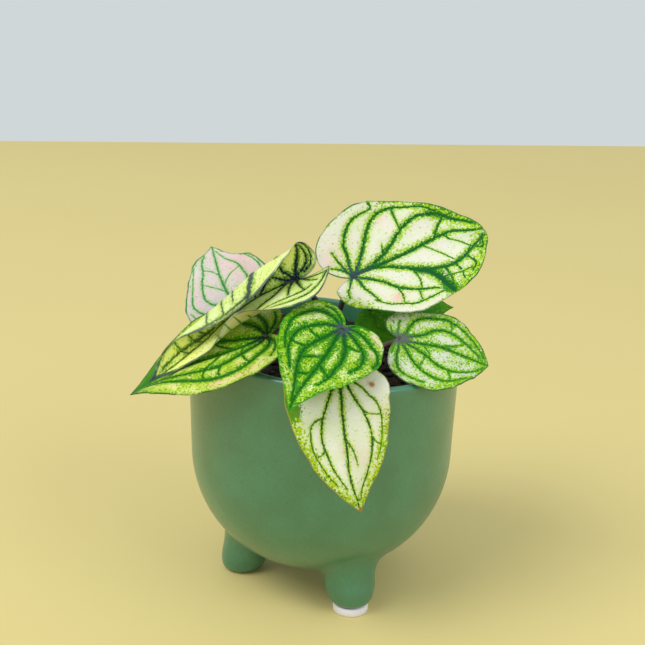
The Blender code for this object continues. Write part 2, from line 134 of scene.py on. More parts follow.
# Each leaf. The junction is where the stem meets the blade and the midrib starts from it:
# heading is its turn from +X towards +Y, rise its slope upwards, roll its tilt about itself.
# A side is: how far back its lobe reaches, how far out the lobe is, where along the midrib it
# is widest, its half width, and how full it stays towards the tip. A fold is the side's angle
# at the midrib in degrees and its added bend in degrees a mm. Droop, back droop and sweep bend
# the midrib in degrees a mm, and the droop's second value is added over every 100 mm. A wave is
# a height in mm and a phase in degrees, three and six times round the margin. The foot is where
# the stem leaves the soil, the arrival its direction at the blade, and the reach how far it keeps
# to its first and last direction. A curl bends the right side more, ramped in along the midrib;
# a roll bends the left side beyond a distance, most at one place along the midrib.
LEAVES = {
    "leaf_top_right": {
        "junction": (13.5, 2, 157.7), "heading": 15, "rise": 24, "roll": 44,
        "length": 66.5, "notch": 2.6, "tip_reach": 0.3, "tip_angle": 93,
        "left": (11.6, 15.7, 18.8, 30.8, 0.1), "right": (11.3, 5.4, 26, 39.6, 0.85),
        "fold_left": (9.2, 0.13), "fold_right": (29.3, -0.18),
        "droop": (0.11, -0.19), "back_droop": 0.96, "sweep": -0.16,
        "waves": ((-3.6, 35), (2.2, 54)),
        "foot": (4, 4), "arrival": (0.43, -0.06, 0.9), "reach": (14, 12)},
    "leaf_back_left": {
        "junction": (-40.5, 0.9, 139.3), "heading": 147.2, "rise": 43.2, "roll": -57.9,
        "length": 47.5, "notch": 4.3, "tip_reach": 0.43, "tip_angle": 18.5,
        "left": (8.2, 10.1, 5, 24.9, 0.28), "right": (10.1, 12.1, 4.5, 23.7, 0.49),
        "fold_left": (31.2, 0.07), "fold_right": (8.1, 0.08),
        "droop": (1.16, 0.27), "back_droop": 0, "sweep": -0.29,
        "waves": ((0.95, 328), (1.07, 14)),
        "foot": (-12, 6), "arrival": (-0.7, -0.3, 0.65), "reach": (13, 16)},
    "leaf_folded": {
        "junction": (-13.8, -22.2, 162.4), "heading": 186.8, "rise": -15.5, "roll": -1,
        "length": 82.9, "notch": 2.9, "tip_reach": 0.12, "tip_angle": -8,
        "left": (17.9, 6.6, 9.4, 26.6, 0.5), "right": (14.9, 9.3, 10.4, 26.9, 0.53),
        "fold_left": (1.6, -0.37), "fold_right": (53, 5.01),
        "curl_right": (3.74, -9.2, 38.6), "roll_left": (10.72, 42.5, 17.6, 9.1), "twist": -0.27,
        "droop": (0.83, -0.86), "back_droop": -1.52, "sweep": 0.35,
        "waves": ((0, 0), (1.27, -60.5)),
        "foot": (3.5, -5), "arrival": (-0.69, -0.4, 0.6), "reach": (14, 18)},
    "leaf_lower_left": {
        "junction": (-27.2, -41.1, 141.5), "heading": 187.5, "rise": -18.6, "roll": -21.5,
        "length": 68.7, "notch": 3.3, "tip_reach": 0.42, "tip_angle": 43,
        "left": (8.5, 11.5, 11.8, 26.1, 0.39), "right": (11.4, 14.3, 20, 25.1, 0.71),
        "fold_left": (10.9, -0.17), "fold_right": (3.4, -0.06),
        "droop": (0.29, 0.05), "back_droop": -0.11, "sweep": -0.11,
        "waves": ((2.6, -5), (0.29, -56)),
        "foot": (-6, -14), "arrival": (-0.6, -0.62, 0.5), "reach": (10, 15)},
    "leaf_centre": {
        "junction": (7.6, -47, 147.5), "heading": 246.2, "rise": -10.55, "roll": -16.4,
        "length": 55, "notch": 4, "tip_reach": 0.28, "tip_angle": 30.5,
        "left": (9, 12.8, 9.9, 22.8, 0.4), "right": (12.5, 11.8, 3.5, 23.7, 0.62),
        "fold_left": (-4.1, -0.25), "fold_right": (7.2, 0.1),
        "droop": (0.72, -1.35), "back_droop": 0.14, "sweep": 0.08,
        "waves": ((2.71, 93), (1.18, -74)),
        "foot": (6, -18), "arrival": (0.05, -0.7, 0.71), "reach": (14, 15)},
    "leaf_front": {
        "junction": (6.9, -60.1, 131.9), "heading": 271.9, "rise": -35.2, "roll": -8,
        "length": 63, "notch": 3.9, "tip_reach": 0.34, "tip_angle": 41,
        "left": (6.15, 12.4, 4.9, 22.6, 0.62), "right": (9.7, 13.7, 6.65, 25.4, 0.47),
        "fold_left": (-2.1, -0.17), "fold_right": (5.2, -0.06),
        "droop": (0.79, -0.33), "back_droop": 0.06, "sweep": 0.42,
        "waves": ((-0.09, 78), (0.7, 72)),
        "foot": (4, -30), "arrival": (0.05, -0.85, 0.53), "reach": (9, 13)},
    "leaf_right": {
        "junction": (34.9, -30.1, 138.2), "heading": -11.3, "rise": -9.85, "roll": 40.35,
        "length": 42.4, "notch": 1.5, "tip_reach": 0.35, "tip_angle": 62.5,
        "left": (9.1, 7.1, 20.1, 17.5, 0.45), "right": (3.3, 9.6, 15.3, 23.7, 0.51),
        "fold_left": (1.9, -0.05), "fold_right": (8.5, 0.02),
        "droop": (0.31, -0.04), "back_droop": -0.09, "sweep": 0.06,
        "waves": ((1.08, 122.6), (-0.88, 7.4)),
        "foot": (18, -14), "arrival": (0.56, -0.58, 0.59), "reach": (9, 12)},
    "leaf_green_back": {
        "junction": (22.1, 4, 140.9), "heading": 4, "rise": 4, "roll": 38,
        "length": 40.5, "notch": 3.5, "tip_reach": 0.35, "tip_angle": 23,
        "left": (9, 9, 9, 17, 0.5), "right": (9, 11, 9, 20, 0.5),
        "fold_left": (8.6, 0), "fold_right": (-5.7, 0),
        "droop": (0.17, 0), "back_droop": 0, "sweep": 0,
        "waves": ((0.8, 40), (0.4, 0)),
        "foot": (13, 8), "arrival": (0.6, -0.16, 0.78), "reach": (8, 9)},
}

# The veins of each leaf: width at start and end, then places along and left of the midrib (mm)
VEINS = {
    "leaf_top_right": (
        (2.1, 0.8, -0.5, 0.6, 6.8, 0.2, 14.5, -0.2, 23.1, 0, 31, 0.9, 39.5, 2.3, 51.2, 4, 58.6, 1.7,
         66.4, 0),
        (1.4, 0.8, 5, 0.3, 12.4, 2, 19.6, 5.4, 25.4, 9.5, 30.3, 13.1, 35.4, 15.3, 39.3, 16.2,
         46.3, 14.9),
        (1.5, 0.9, 44, 15.6, 50.1, 13.7, 54.5, 10.4, 58.9, 8.5, 63.1, 5.5),
        (1.3, 0.4, 0.5, 0.8, 2.6, 2.6, 7.8, 8.5, 13.1, 15.8, 17.4, 21, 22.1, 23.9, 28.5, 24.4,
         34.3, 22.4, 41.8, 20, 48, 16.2),
        (1.2, 0.4, -0.3, 0.8, -0.2, 4.2, 1.4, 10.4, 2, 15.3, 4.9, 20.4, 8.5, 23.8, 12.1, 25.4,
         20.1, 26.9),
        (0.8, 0.3, -0.8, 1, -2.3, 4.3, -3.6, 10.1, -4.1, 15.4),
        (0.7, 0.3, -1, 0.8, -3.5, 5, -6.4, 7.5, -7.8, 9),
        (1.4, 1.2, 7, 0, 11, -1.1, 16.9, -4.9, 22.9, -10, 29, -14.2, 34.3, -17.6, 40, -19.3,
         45.4, -19.7, 51.7, -17.7, 56.2, -14.5, 61.2, -11.2, 64.2, -6.6),
        (3.2, 3, 31.5, -17.5, 34.5, -22, 36, -27, 37.6, -33, 38.6, -36),
        (1.6, 2.4, 25, -12, 29, -16, 33.5, -19.5),
        (1.3, 0.5, 0, 0, 2.2, -3.3, 6.5, -8.5, 10.4, -13.5, 14, -19.6, 19, -24.6, 25.2, -28.6,
         32.4, -31.6),
        (1, 0.4, -0.3, -0.6, 0.5, -3.7, 0.6, -11.4, 2.2, -18.9, 3.4, -25),
        (0.8, 0.3, -1, -0.3, -2.5, -2.2, -4.7, -6.6, -6.4, -9, -7.2, -14.2),
        (0.5, 0.4, 1.8, -23.5, 6.2, -28.7, 13.4, -31.8, 18.5, -34.2, 26.5, -34.8, 33.3, -34.6),
        (0.5, 0.3, 20.2, 29.6, 20.4, 26.6),
        (0.5, 0.3, 29, 23.8, 28.9, 18.9, 29, 12.6),
        (0.6, 0.3, 17, 4.6, 18.4, 9),
        (0.9, 0.5, 42.6, 2.8, 46.6, 8.9, 50.5, 12.6),
        (0.5, 0.3, 47.4, 3.2, 52.7, -6.7, 56.2, -14),
        (0.4, 0.2, 36.5, 1.4, 40.4, -7.8, 46.7, -18.8),
        (0.5, 0.3, 25.4, -12, 26.3, -21.2, 24.6, -28.3),
        (0.5, 0.3, 14.6, -20.6, 14.8, -27.8, 13.3, -31.7),
        (0.4, 0.3, 23.2, -27.3, 22.3, -34.6),
        (0.5, 0.3, 35.2, -25, 44.4, -26.4, 52, -26),
        (0.7, 0.5, 51.9, -17.6, 55.1, -23.9, 52.2, -28.1),
        (0.7, 0.4, 40, -19.6, 41, -26, 40, -33),
        (0.6, 0.4, 45.4, -19.7, 47, -25, 46.5, -31),
        (0.6, 0.4, 57, -14, 61, -17, 62.5, -12, 65, -8)),
    "leaf_back_left": (
        (1.3, 0.4, 0, 0, 10.4, 0.7, 14, 0.5, 21.5, -0.1, 30.6, -1.2, 42.9, -1, 47, 0),
        (0.9, 0.4, 0, 0.5, 6.6, 8.6, 11.5, 12.4, 18.6, 10.3, 23.8, 7.4, 30.8, 6, 37, 4),
        (0.8, 0.3, 0, 0.5, 4, 14, 9.5, 19.6, 14.3, 18.1, 21.3, 14.1, 28, 10.5),
        (0.7, 0.3, -1, 0.5, -2, 12, 3, 20, 8, 22.6),
        (0.9, 0.3, 0, -0.5, 5, -8, 10.6, -11.9, 14.3, -12.2, 20.4, -11.3, 24.2, -9.8, 30.6, -5.6,
         38, -2.6),
        (0.8, 0.3, -0.6, -0.5, 1, -12, 7, -19, 13.1, -20.5, 19, -18.6, 26, -15),
        (0.7, 0.3, -1, -0.5, -5, -10, -4, -16, 0, -20),
        (0.6, 0.3, -1, 0.5, -5, 6, -6, 12),
        (0.4, 0.3, 12, 0.6, 16, 6, 18.6, 10),
        (0.4, 0.3, 22, -0.1, 25, 3, 26, 6.6),
        (0.4, 0.3, 15, 0.4, 19, -5, 20, -11)),
    "leaf_folded": (
        (2.6, 0.8, -0.6, -0.8, 3, 0, 6, 0.6, 10, 1.2, 14, 1.2, 18.5, 1),
        (0.8, 0.4, 18, 1, 26, 1.5, 34, 2.2, 39, 2, 49, 3.5, 57, 3, 67, 2, 75, 1, 82, 0),
        (0.7, 0.3, 44, 0.4, 50, 0.2, 58, -0.8, 66, -1.2, 74, -0.5),
        (2, 0.8, 0.5, -1, 2.5, -3, 4.6, -5.6),
        (0.8, 0.5, 4.6, -5.6, 5, -9, 3.4, -14),
        (1.7, 0.6, 3, -0.6, 6, -2.2, 9.6, -4.8),
        (0.8, 1.1, 17.5, 0, 14, -3, 10.8, -5.4, 8.4, -7.6, 7.1, -9.3, 6, -13, 5, -19),
        (2, 1.5, 16.5, -13, 17.4, -18, 19, -20.5, 21.1, -22.2, 24, -25),
        (0.6, 0.9, 20, 0, 19, -6, 16.8, -13),
        (1.8, 0.8, -0.4, -1.6, -1, -4.5, -2.6, -7.6, -5, -12, -6.6, -16, -7, -20),
        (0.9, 0.6, -1.6, -2.6, -5, -4.2, -8.6, -7.4, -9.8, -12, -9, -17, -7, -20),
        (0.6, 0.4, -4.5, -2.6, -9, -4.5, -12, -8.5, -12.8, -13, -11, -18.5, -8, -21.5),
        (1, 0.5, -1.2, 0.2, -4, 1.6, -8, 3.6, -13, 6.6, -16, 8),
        (0.8, 0.4, -15.5, 9, -13, 13, -8, 17, -1, 20.4, 8, 22, 16, 20.5),
        (1.2, 0.5, -0.4, 0.6, -0.2, 4, -1, 9, -2, 14),
        (1.2, 0.5, 1.6, 0.8, 3, 4, 4.6, 9.5, 6, 15),
        (1.1, 0.5, 4.5, 0.6, 8.5, 5, 13, 8.5, 18, 9.6, 24, 11, 34, 11),
        (0.7, 0.4, -3, 1.4, -6, 6.6, -10, 10.6),
        (0.6, 0.4, -6, 13, 1, 16.6, 10, 17.4, 20, 15.6, 30, 14.6),
        (0.6, 0.4, 28, 12, 27, 16, 28, 21),
        (0.6, 0.4, 33.5, 11, 33, 16, 34, 21.6),
        (0.6, 0.4, 39, 10, 39, 15, 40, 21),
        (0.6, 0.4, 45, 9, 45.6, 14, 46, 18),
        (0.8, 0.4, 48, -5, 56, -8.4, 63, -8, 69, -6, 75, -3),
        (0.4, 0.3, 52, 2.8, 54.6, -2, 55.6, -7),
        (0.4, 0.3, 46.6, 2.4, 50, -2, 51.6, -6),
        (0.4, 0.3, 60, 2.6, 62, -2, 62.4, -7),
        (0.5, 0.4, 22, -24.2, 30, -22.4, 38, -20.4, 46, -17.8, 56, -14, 66, -9.5, 76, -4),
        (0.6, 0.4, 26, 0, 26, -7, 27.5, -14, 30, -19.6),
        (0.6, 0.4, 32, 0, 33, -8, 35, -15, 37, -19.6),
        (0.6, 0.4, 39, 0, 41, -8, 44, -14, 46, -17)),
    "leaf_lower_left": (
        (1.5, 0.5, -0.6, 0.8, 3.3, 1.8, 9.5, 2.6, 15.6, 2.8, 21.3, 2.6, 28.2, 1.8, 33.2, 1.1, 41.2, 0,
         49.1, -1, 57.4, -1.2, 63.6, -1, 68, 0),
        (1.3, 0.4, -0.4, 0.2, 3.9, -0.4, 8.7, -2.2, 13.4, -3.6, 19.3, -6.4, 28, -8.8, 38, -9.6, 50, -7,
         60, -3),
        (1.1, 0.4, -1, -0.4, 2.2, -6.8, 7.5, -11.9, 12, -15, 22, -17.6, 34, -17, 46, -12),
        (1, 0.4, -1.4, -0.6, -2.6, -6, -1, -11.5, 2, -16.2, 10, -20),
        (0.8, 0.3, -1.6, -0.4, -5.6, -4.4, -7.6, -8.8, -8.1, -13.1),
        (1.4, 0.4, -0.4, 1.2, 2.2, 4.4, 7.6, 6.5, 13.4, 8.4, 18.2, 10, 23.2, 10.8, 29.7, 9.9,
         35.8, 8.5, 43.1, 6.2, 51.4, 2.8, 58, 1),
        (1.2, 0.4, -1, 1.4, -1.8, 6, 0.2, 10.4, 4.6, 13.6, 9.5, 16.6, 14.5, 18.2, 19.7, 18.6,
         25.9, 17.6, 32.3, 15.4, 40.6, 11.4, 50.5, 6.2, 60.1, 1.6),
        (0.8, 0.3, -1.6, 1.2, -4.1, 9.5, -2.6, 14.9, -0.6, 18),
        (0.6, 0.3, 20.5, 2.8, 24.4, 6.6, 29.4, 9.8),
        (0.5, 0.3, 11.8, 7.8, 10.6, 12.3, 9, 16),
        (0.5, 0.3, 21.1, 10.9, 23, 14, 23, 18),
        (0.5, 0.3, 29, 10.1, 30.2, 13, 30, 16),
        (0.5, 0.3, 13.4, 2.7, 19, -1.6, 24, -7),
        (0.5, 0.3, 30, 1.5, 36, -3, 40, -9),
        (0.5, 0.3, 8, 2.3, 10.6, 5, 12, 7.8),
        (0.5, 0.3, 40, 0.2, 45, 3, 47, 5)),
    "leaf_centre": (
        (2, 0.5, -0.4, -0.3, 6.2, 0.3, 13.5, 1.1, 19.4, 1.1, 25.6, 0.9, 31.7, 0.5, 37.2, 0, 43, -0.6,
         49, -0.7, 54.8, 0),
        (1.8, 0.5, -0.8, -1, 0, -3.4, 2.3, -7.2, 6.9, -10.7, 11.3, -13.6, 17.3, -15.1, 23.3, -14.9,
         29.8, -12.8, 36, -9),
        (1.9, 0.5, 1, -0.6, 3.5, -1.6, 10.2, -3.9, 16.5, -6.2, 21.7, -7.9, 28.2, -7.8, 33.8, -6.5,
         39.4, -4.6, 44.8, -2.7, 49, -1.6),
        (1.5, 0.5, -1.4, -0.8, -4.4, -5.2, -5.4, -10, -4.2, -14.6, -0.5, -18, 6.3, -19.7, 13.3, -20,
         21.7, -18.2, 28, -15.2),
        (1.1, 0.4, -1.6, -0.6, -7, -4.1, -9.6, -9.2, -9.2, -12.6),
        (2, 0.6, 0.4, 0.8, 3, 2.4, 7.5, 4.8, 12.2, 7.2, 20.2, 8.6, 26, 8, 31.6, 8.1, 38, 5.6),
        (1, 0.5, 26.2, 1.2, 29.8, 5, 32.6, 8.2),
        (1.9, 0.6, -0.8, 0.8, -0.2, 3.6, 2.4, 8, 5.8, 12.6, 10.9, 15.8, 17.5, 16.4, 24, 14),
        (1.5, 0.5, -1.4, 0.8, -3.6, 4, -3.3, 8.8, -0.9, 14.6, 0.8, 18.6, 6, 21.4, 13, 21.2),
        (1, 0.4, -1.8, 0.6, -7.4, 5, -8.6, 10),
        (0.9, 0.4, 8.4, 5.3, 9, 10, 7.6, 14),
        (0.8, 0.4, 28.2, -7.8, 24, -3.6, 20.4, 0.8),
        (0.8, 0.4, 12, -4.5, 12, -9, 10, -12.6),
        (0.8, 0.4, 35.8, -5.8, 34.3, -3, 31.6, 0.2),
        (0.8, 0.4, 20, -7.5, 22, -11, 22, -14.8)),
    "leaf_front": (
        (1.3, 0.5, 0, 0, 6.5, 0, 12.2, 0.3, 18.9, 0.1, 25.9, 0, 31.5, 0, 37.7, -0.2, 44, -1,
         50.4, -1.1, 56.1, -0.4, 62, 0),
        (1, 0.4, 0.5, -0.6, 3, -1.6, 7.8, -3.4, 13.5, -5.6, 18.8, -7.8, 23.2, -9.4, 28.9, -10.5,
         33.3, -10.2, 38.5, -8.9, 42.7, -7.8, 47.9, -5.6, 52, -3.6),
        (0.5, 0.4, 22, -9.2, 22.6, -12, 25, -14.8, 29.5, -15.6, 33.3, -15.6, 36.7, -14.6, 40.7, -12.7,
         45.9, -10, 49.7, -7.5),
        (1, 0.4, 0.5, 0.6, 5.3, 2.9, 10.2, 5.3, 14.6, 7.6, 19.4, 10, 25, 11.6, 30.2, 12.2, 36.3, 11.5,
         41.8, 9.8, 47.9, 7, 53.3, 3.4, 57.8, 1.4),
        (0.8, 0.3, 0, 0.6, 4.2, 6.8, 6.5, 9.8, 10.4, 13.1, 12.9, 15.6, 17.7, 17.6, 23.8, 17.9,
         29.7, 17.1, 35.6, 15.8, 42, 13),
        (0.6, 0.3, -1, 0.4, -3.6, 5, -4.4, 10),
        (0.6, 0.3, -1, -0.4, -3, -5, -3.6, -10),
        (0.6, 0.3, 31.5, 0, 34.1, 1.9, 38.7, 3.3, 43.1, 3.7),
        (0.5, 0.3, 34.8, -9.8, 36.4, -12, 37, -14.4),
        (0.5, 0.3, 17, 8.8, 19.6, 12, 20, 17.6),
        (0.5, 0.3, 31, 12.2, 33.6, 13.6, 35, 15.8)),
    "leaf_right": (
        (1.3, 0.5, -0.6, -0.6, 4.6, -0.4, 10.1, 0.2, 15.6, 1, 21.3, 1.1, 28.3, 0.6, 34.2, 0.2,
         41.6, 0),
        (1.3, 0.5, -0.2, 0.4, 2, 1.6, 5.7, 2.9, 9.9, 5, 13, 7.8, 17.4, 9.7, 21.2, 9.9, 26.5, 8.3,
         32.5, 5, 37.7, 1.9),
        (1.1, 0.5, -0.6, 0.6, 1.4, 2.8, 2.6, 7.3, 4.2, 10.8, 7.6, 13.2, 12.8, 14.2, 17.9, 15, 22, 14.6,
         26.2, 13.3, 30.9, 10.6, 35.7, 6.4, 39.4, 2.6),
        (0.5, 0.3, 20.4, 14.8, 21.6, 12, 21.2, 10),
        (0.8, 0.3, -1, 0.6, -2, 3, -2.6, 6, -2.8, 8.7),
        (0.6, 0.3, -1.4, 0.4, -4.4, 2.1, -5.9, 4.6),
        (0.6, 0.3, 18, 1.1, 21.5, 2.4, 25.4, 3.9, 29.3, 6.3),
        (1.2, 0.4, 1, -0.8, 4.6, -2.3, 9.1, -3.9, 13.3, -5.8, 16.6, -7.9, 20.5, -9.9, 25.1, -10.8,
         30.5, -9.4, 36.2, -5.8, 40, -2.3),
        (1.1, 0.4, -0.2, -1.2, 2.5, -3.6, 5.8, -7.9, 9.5, -11.7, 13, -14.3, 17.3, -16, 21.9, -16.8,
         26.8, -16, 33, -12),
        (0.9, 0.4, -0.6, -1.4, 0.2, -4.9, 0.6, -10.2, 1.8, -14.4, 3.5, -17, 6.7, -19, 10.4, -20,
         15.4, -20.4),
        (0.5, 0.3, -1.2, -1, -2, -5, -2, -9),
        (0.5, 0.3, 23.6, -10.6, 25.4, -13.6, 26.1, -16),
        (0.4, 0.3, 10, 0.2, 13.6, -3, 15.6, -7),
        (0.4, 0.3, 12.6, -5.5, 12.6, -9, 11.4, -13)),
    "leaf_green_back": (
        (1, 0.3, 0, 0, 20, 0.3, 40, 0),
        (0.7, 0.3, 0, 0.3, 7, 6, 18, 9, 28, 6, 35, 2),
        (0.7, 0.3, 0, -0.3, 7, -6, 18, -10, 28, -7, 35, -2),
        (0.6, 0.3, -0.5, 0.3, 0, 8, 8, 13.5, 18, 14),
        (0.6, 0.3, -0.5, -0.3, 0, -8, 8, -15, 18, -16),
        (0.5, 0.3, -1, 0, -6, 5, -7, 9),
        (0.5, 0.3, -1, 0, -6, -5, -7, -9)),
}

# The factor on each leaf's widths above
VEIN_SCALE = {"leaf_top_right": 0.92, "leaf_back_left": 0.85, "leaf_folded": 1.15,
              "leaf_lower_left": 1.22, "leaf_centre": 1.1, "leaf_front": 0.8, "leaf_right": 0.7,
              "leaf_green_back": 0.5}

# Soft patches on each leaf: along, left of the midrib and reach in mm, then the strengths of its
# blush, its green and its mark or wash; the folded leaf's wash is painted light in its shaded curl
PATCHES = {
    "leaf_top_right": ((12.5, -27, 3.4, 0.85, 0, 0), (-4, 13, 6, 0.4, 0, 0), (22, 22, 4, 0.3, 0, 0),
        (37.6, -33.6, 4.5, 0, 0.7, 0), (32.5, -17.5, 3.5, 0, 0.4, 0), (38.5, -22, 3.5, 0, 0.4, 0),
        (-3, -0.5, 2.2, 0, 0, 0.5), (0.8, 0.2, 2.4, 0, 0, 0.8)),
    "leaf_back_left": ((24, -11, 9, 0.9, 0, 0), (18, 18, 7, 0.7, 0, 0), (12, -18, 8, 0.6, 0, 0),
        (34, -2, 8, 0.5, 0, 0)),
    # The folded leaf's last strengths place its wash: painted light inside the curl, where it lies in
    # shade
    "leaf_folded": ((44, 0, 8, 0, 0, 0.7), (54, 0, 10, 0, 0, 0.7), (68, 0, 12, 0, 0, 0.9),
        (-1, -13, 10, 0, 0, 1), (13, -10, 8, 0, 0, 0.5), (22, 23, 6, 0.9, 0, 0), (31, 23, 6, 1, 0, 0),
        (40, 21, 6, 1, 0, 0)),
    "leaf_lower_left": ((24, 20, 4, 1, 0, 0), (12, 21, 5, 0.8, 0, 0), (38, 9, 6, 0.3, 0, 0),
        (64, -1, 6, 0, 0.9, 0), (56, -8, 7, 0, 1, 0), (2, 1, 4, 0, 0.3, 0.5)),
    "leaf_centre": ((-1, 0, 3.6, 0, 0.6, 0.8), (6, 19, 6, 0.9, 0, 0), (-6, -8, 5, 0.6, 0, 0),
        (-5, 14, 5.5, 1, 0, 0)),
    "leaf_front": ((18, -23, 5, 0, 0.9, 0), (4, 14, 3.4, 0.5, 0, 0.42), (4.8, 14.4, 1.1, 0, 0, 0.6),
        (36, -2, 2, 0.6, 0, 0.3), (62.5, 0, 1.8, 0, 0, 1), (20, 22, 7, 0.7, 0, 0.05),
        (40, 6, 6, 0.4, 0, 0)),
    "leaf_right": ((-0.5, 0, 4.5, 0, 0.3, 0.8), (5, 1, 3, 0, 0.2, 0.3)),
    "leaf_green_back": ((6, 2, 4, 0, 0, 0.2),),
}


def paint(red, green, blue):
    """A colour as seen on screen, 0 to 255, as the linear colour that a shader takes."""
    levels = []
    for level in (red, green, blue):
        part = level / 255.0
        levels.append(part / 12.92 if part <= 0.04045 else ((part + 0.055) / 1.055) ** 2.4)
    return (*levels, 1.0)


def shaded(colour, factor):
    """A colour made darker or paler by a factor."""
    return tuple(min(1.0, factor * level) for level in colour[:3]) + (1.0,)


# How strong the green speckle along the margin is: all round, then more or less of it at places
# along and left of the midrib, with a reach (mm) and a strength
EDGE_SPECKLE = {
    "leaf_top_right": (0.12, (62, -4, 14, 0.95), (52, -22, 14, 1.1), (40, -31, 9, 1.1),
        (57, 11, 10, 1), (45, 18, 10, 1), (28, 26, 9, 0.6), (-5, -24, 8, 0.9), (-9, -13, 7, 0.5),
        (4, 25, 8, 0.2)),
    "leaf_back_left": (0.5, (30, 12, 12, 0.2)),
    "leaf_folded": (0.3, (10, 22, 12, 0.6), (70, 0, 12, 0.5)),
    "leaf_lower_left": (0.7, (60, 0, 16, 0.6), (40, -12, 14, 0.4)),
    "leaf_centre": (1.1, (-4, 18, 9, -0.7), (-8, -10, 6, -0.6), (14, 23, 7, -0.2)),
    "leaf_front": (1.05, (4, 20, 13, -1), (2, -14, 8, -0.5)),
    "leaf_right": (0.45, (26, -18.5, 12, 0.55), (41, 2, 9, 0.5), (26, 14, 9, 0.35)),
    "leaf_green_back": (0.0,),
}

# Finish of each leaf, with colours by their levels on screen: two ground colours, the vein core
# by the stem and further out, the green beside it and how far that reaches, the speckle and how
# far it reaches beside a vein and beside the margin (mm), the shares of speckle and of green dots
# on the ground, the margin line and its width (mm), and the record's slot. Some also have a
# colour for the marked patches, over the veins (mark) or under them (wash, painted light: the
# leaf's own pale yellow made paler to light its shaded curl), one for the blush, and the
# distances from the stem between which the vein core changes (mm)
LEAF_FINISH = {
    "leaf_top_right": {
        "ground": (228, 221, 208), "ground_two": (221, 223, 198), "core": (44, 74, 74),
        "vein": (6, 86, 30), "green": (26, 120, 4), "ring": 1.0, "speckle": (170, 204, 14),
        "reach": 2.7, "edge_reach": 11.0, "dots": 0.02, "green_dots": 0.0,
        "line": (40, 110, 44), "line_width": 0.55, "mark": (50, 70, 76), "slot": "leaf_cream"},
    "leaf_back_left": {
        "ground": (218, 204, 202), "ground_two": (212, 204, 196), "core": (42, 116, 50),
        "vein": (46, 130, 56), "green": (90, 160, 84), "ring": 0.6, "speckle": (156, 196, 124),
        "reach": 1.5, "edge_reach": 4.0, "dots": 0.03, "green_dots": 0.0, "blush": (224, 182, 188),
        "line": (50, 120, 56), "line_width": 0.7, "mark": (150, 130, 80), "slot": "leaf_pink"},
    "leaf_folded": {
        "ground": (226, 233, 172), "ground_two": (213, 227, 130), "core": (14, 26, 52),
        "vein": (70, 84, 30), "green": (100, 140, 44), "ring": 0.8, "speckle": (164, 200, 64),
        "reach": 1.7, "edge_reach": 3.0, "dots": 0.04, "green_dots": 0.0,
        # The wash is painted light: the leaf's own pale yellow made paler still, lighting its shaded
        # curl
        "line": (58, 74, 92), "line_width": 1.0, "wash_and_painted_light": (248, 250, 140), "blush": (186, 160, 104),
        "stem_zone": (34.0, 44.0), "slot": "leaf_lime"},
    "leaf_lower_left": {
        "ground": (216, 220, 136), "ground_two": (192, 208, 70), "core": (16, 34, 20),
        "vein": (26, 90, 6), "green": (46, 124, 0), "ring": 1.5, "speckle": (146, 188, 10),
        "reach": 2.8, "edge_reach": 5.6, "dots": 0.24, "green_dots": 0.01, "blush": (234, 178, 150),
        "line": (56, 84, 40), "line_width": 0.7, "mark": (26, 44, 28), "slot": "leaf_yellow_green"},
    "leaf_centre": {
        "ground": (224, 230, 180), "ground_two": (204, 220, 110), "core": (40, 62, 66),
        "vein": (4, 88, 8), "green": (26, 124, 0), "ring": 1.75, "speckle": (146, 190, 0),
        "reach": 3.6, "edge_reach": 7.0, "dots": 0.30, "green_dots": 0.12, "blush": (228, 196, 182),
        "stem_zone": (3.0, 8.0),
        "line": (50, 140, 10), "line_width": 0.45, "mark": (70, 88, 90), "slot": "leaf_mottled_green"},
    "leaf_front": {
        "ground": (222, 223, 203), "ground_two": (216, 221, 186), "core": (24, 54, 32),
        "vein": (28, 72, 24), "green": (70, 130, 0), "ring": 0.7, "speckle": (176, 198, 10),
        "reach": 1.9, "edge_reach": 8.5, "dots": 0.008, "green_dots": 0.0,
        "line": (146, 140, 56), "line_width": 0.45, "mark": (160, 116, 56),
        "blush": (222, 192, 174), "slot": "leaf_cream_green_edge"},
    "leaf_right": {
        "ground": (212, 213, 204), "ground_two": (202, 211, 178), "core": (54, 76, 60),
        "vein": (14, 88, 22), "green": (58, 136, 4), "ring": 1.8, "speckle": (150, 192, 10),
        "reach": 4.0, "edge_reach": 8.5, "dots": 0.22, "green_dots": 0.05,
        "line": (60, 100, 52), "line_width": 0.6, "mark": (90, 100, 92),
        "slot": "leaf_pale_speckled"},
    "leaf_green_back": {
        "ground": (82, 166, 18), "ground_two": (54, 136, 12), "core": (44, 116, 16),
        "vein": (44, 122, 12), "green": (50, 130, 10), "ring": 0.3, "speckle": (140, 186, 30),
        "reach": 0.4, "edge_reach": 1.0, "dots": 0.05, "green_dots": 0.0,
        "line": (60, 100, 40), "line_width": 0.3, "mark": (120, 150, 50), "slot": "leaf_dark_green"},
}
NEAR_STEM = (3.0, 13.0)
SHADOW_GREEN = (0.25, 0.3, 0.15, 1.0)


def colour_value(name, description, *levels):
    return FloatVectorProperty(name=name, description=description, subtype="COLOR", size=4,
                               default=paint(*levels), min=0.0, max=1.0)


def length_value(name, description, metres):
    return FloatProperty(name=name, description=description, subtype="DISTANCE", unit="LENGTH",
                         default=metres, min=0.0)


class PotSettings(bpy.types.PropertyGroup):
    """Steps and colours of the pot, and the colour of its pad."""
    sides: IntProperty(name="Sides", description="Steps round the pot before it is subdivided",
                       default=96, min=24)
    glaze: colour_value("Glaze", "Main colour of the pot", 62, 127, 95)
    glaze_dark: colour_value("Dark glaze", "Darker colour mixed into the glaze", 46, 102, 66)
    speckle: colour_value("Speckle", "Colour of the small dark specks", 52, 76, 60)
    pad: colour_value("Pad", "Colour of the pad under the front foot", 232, 228, 232)


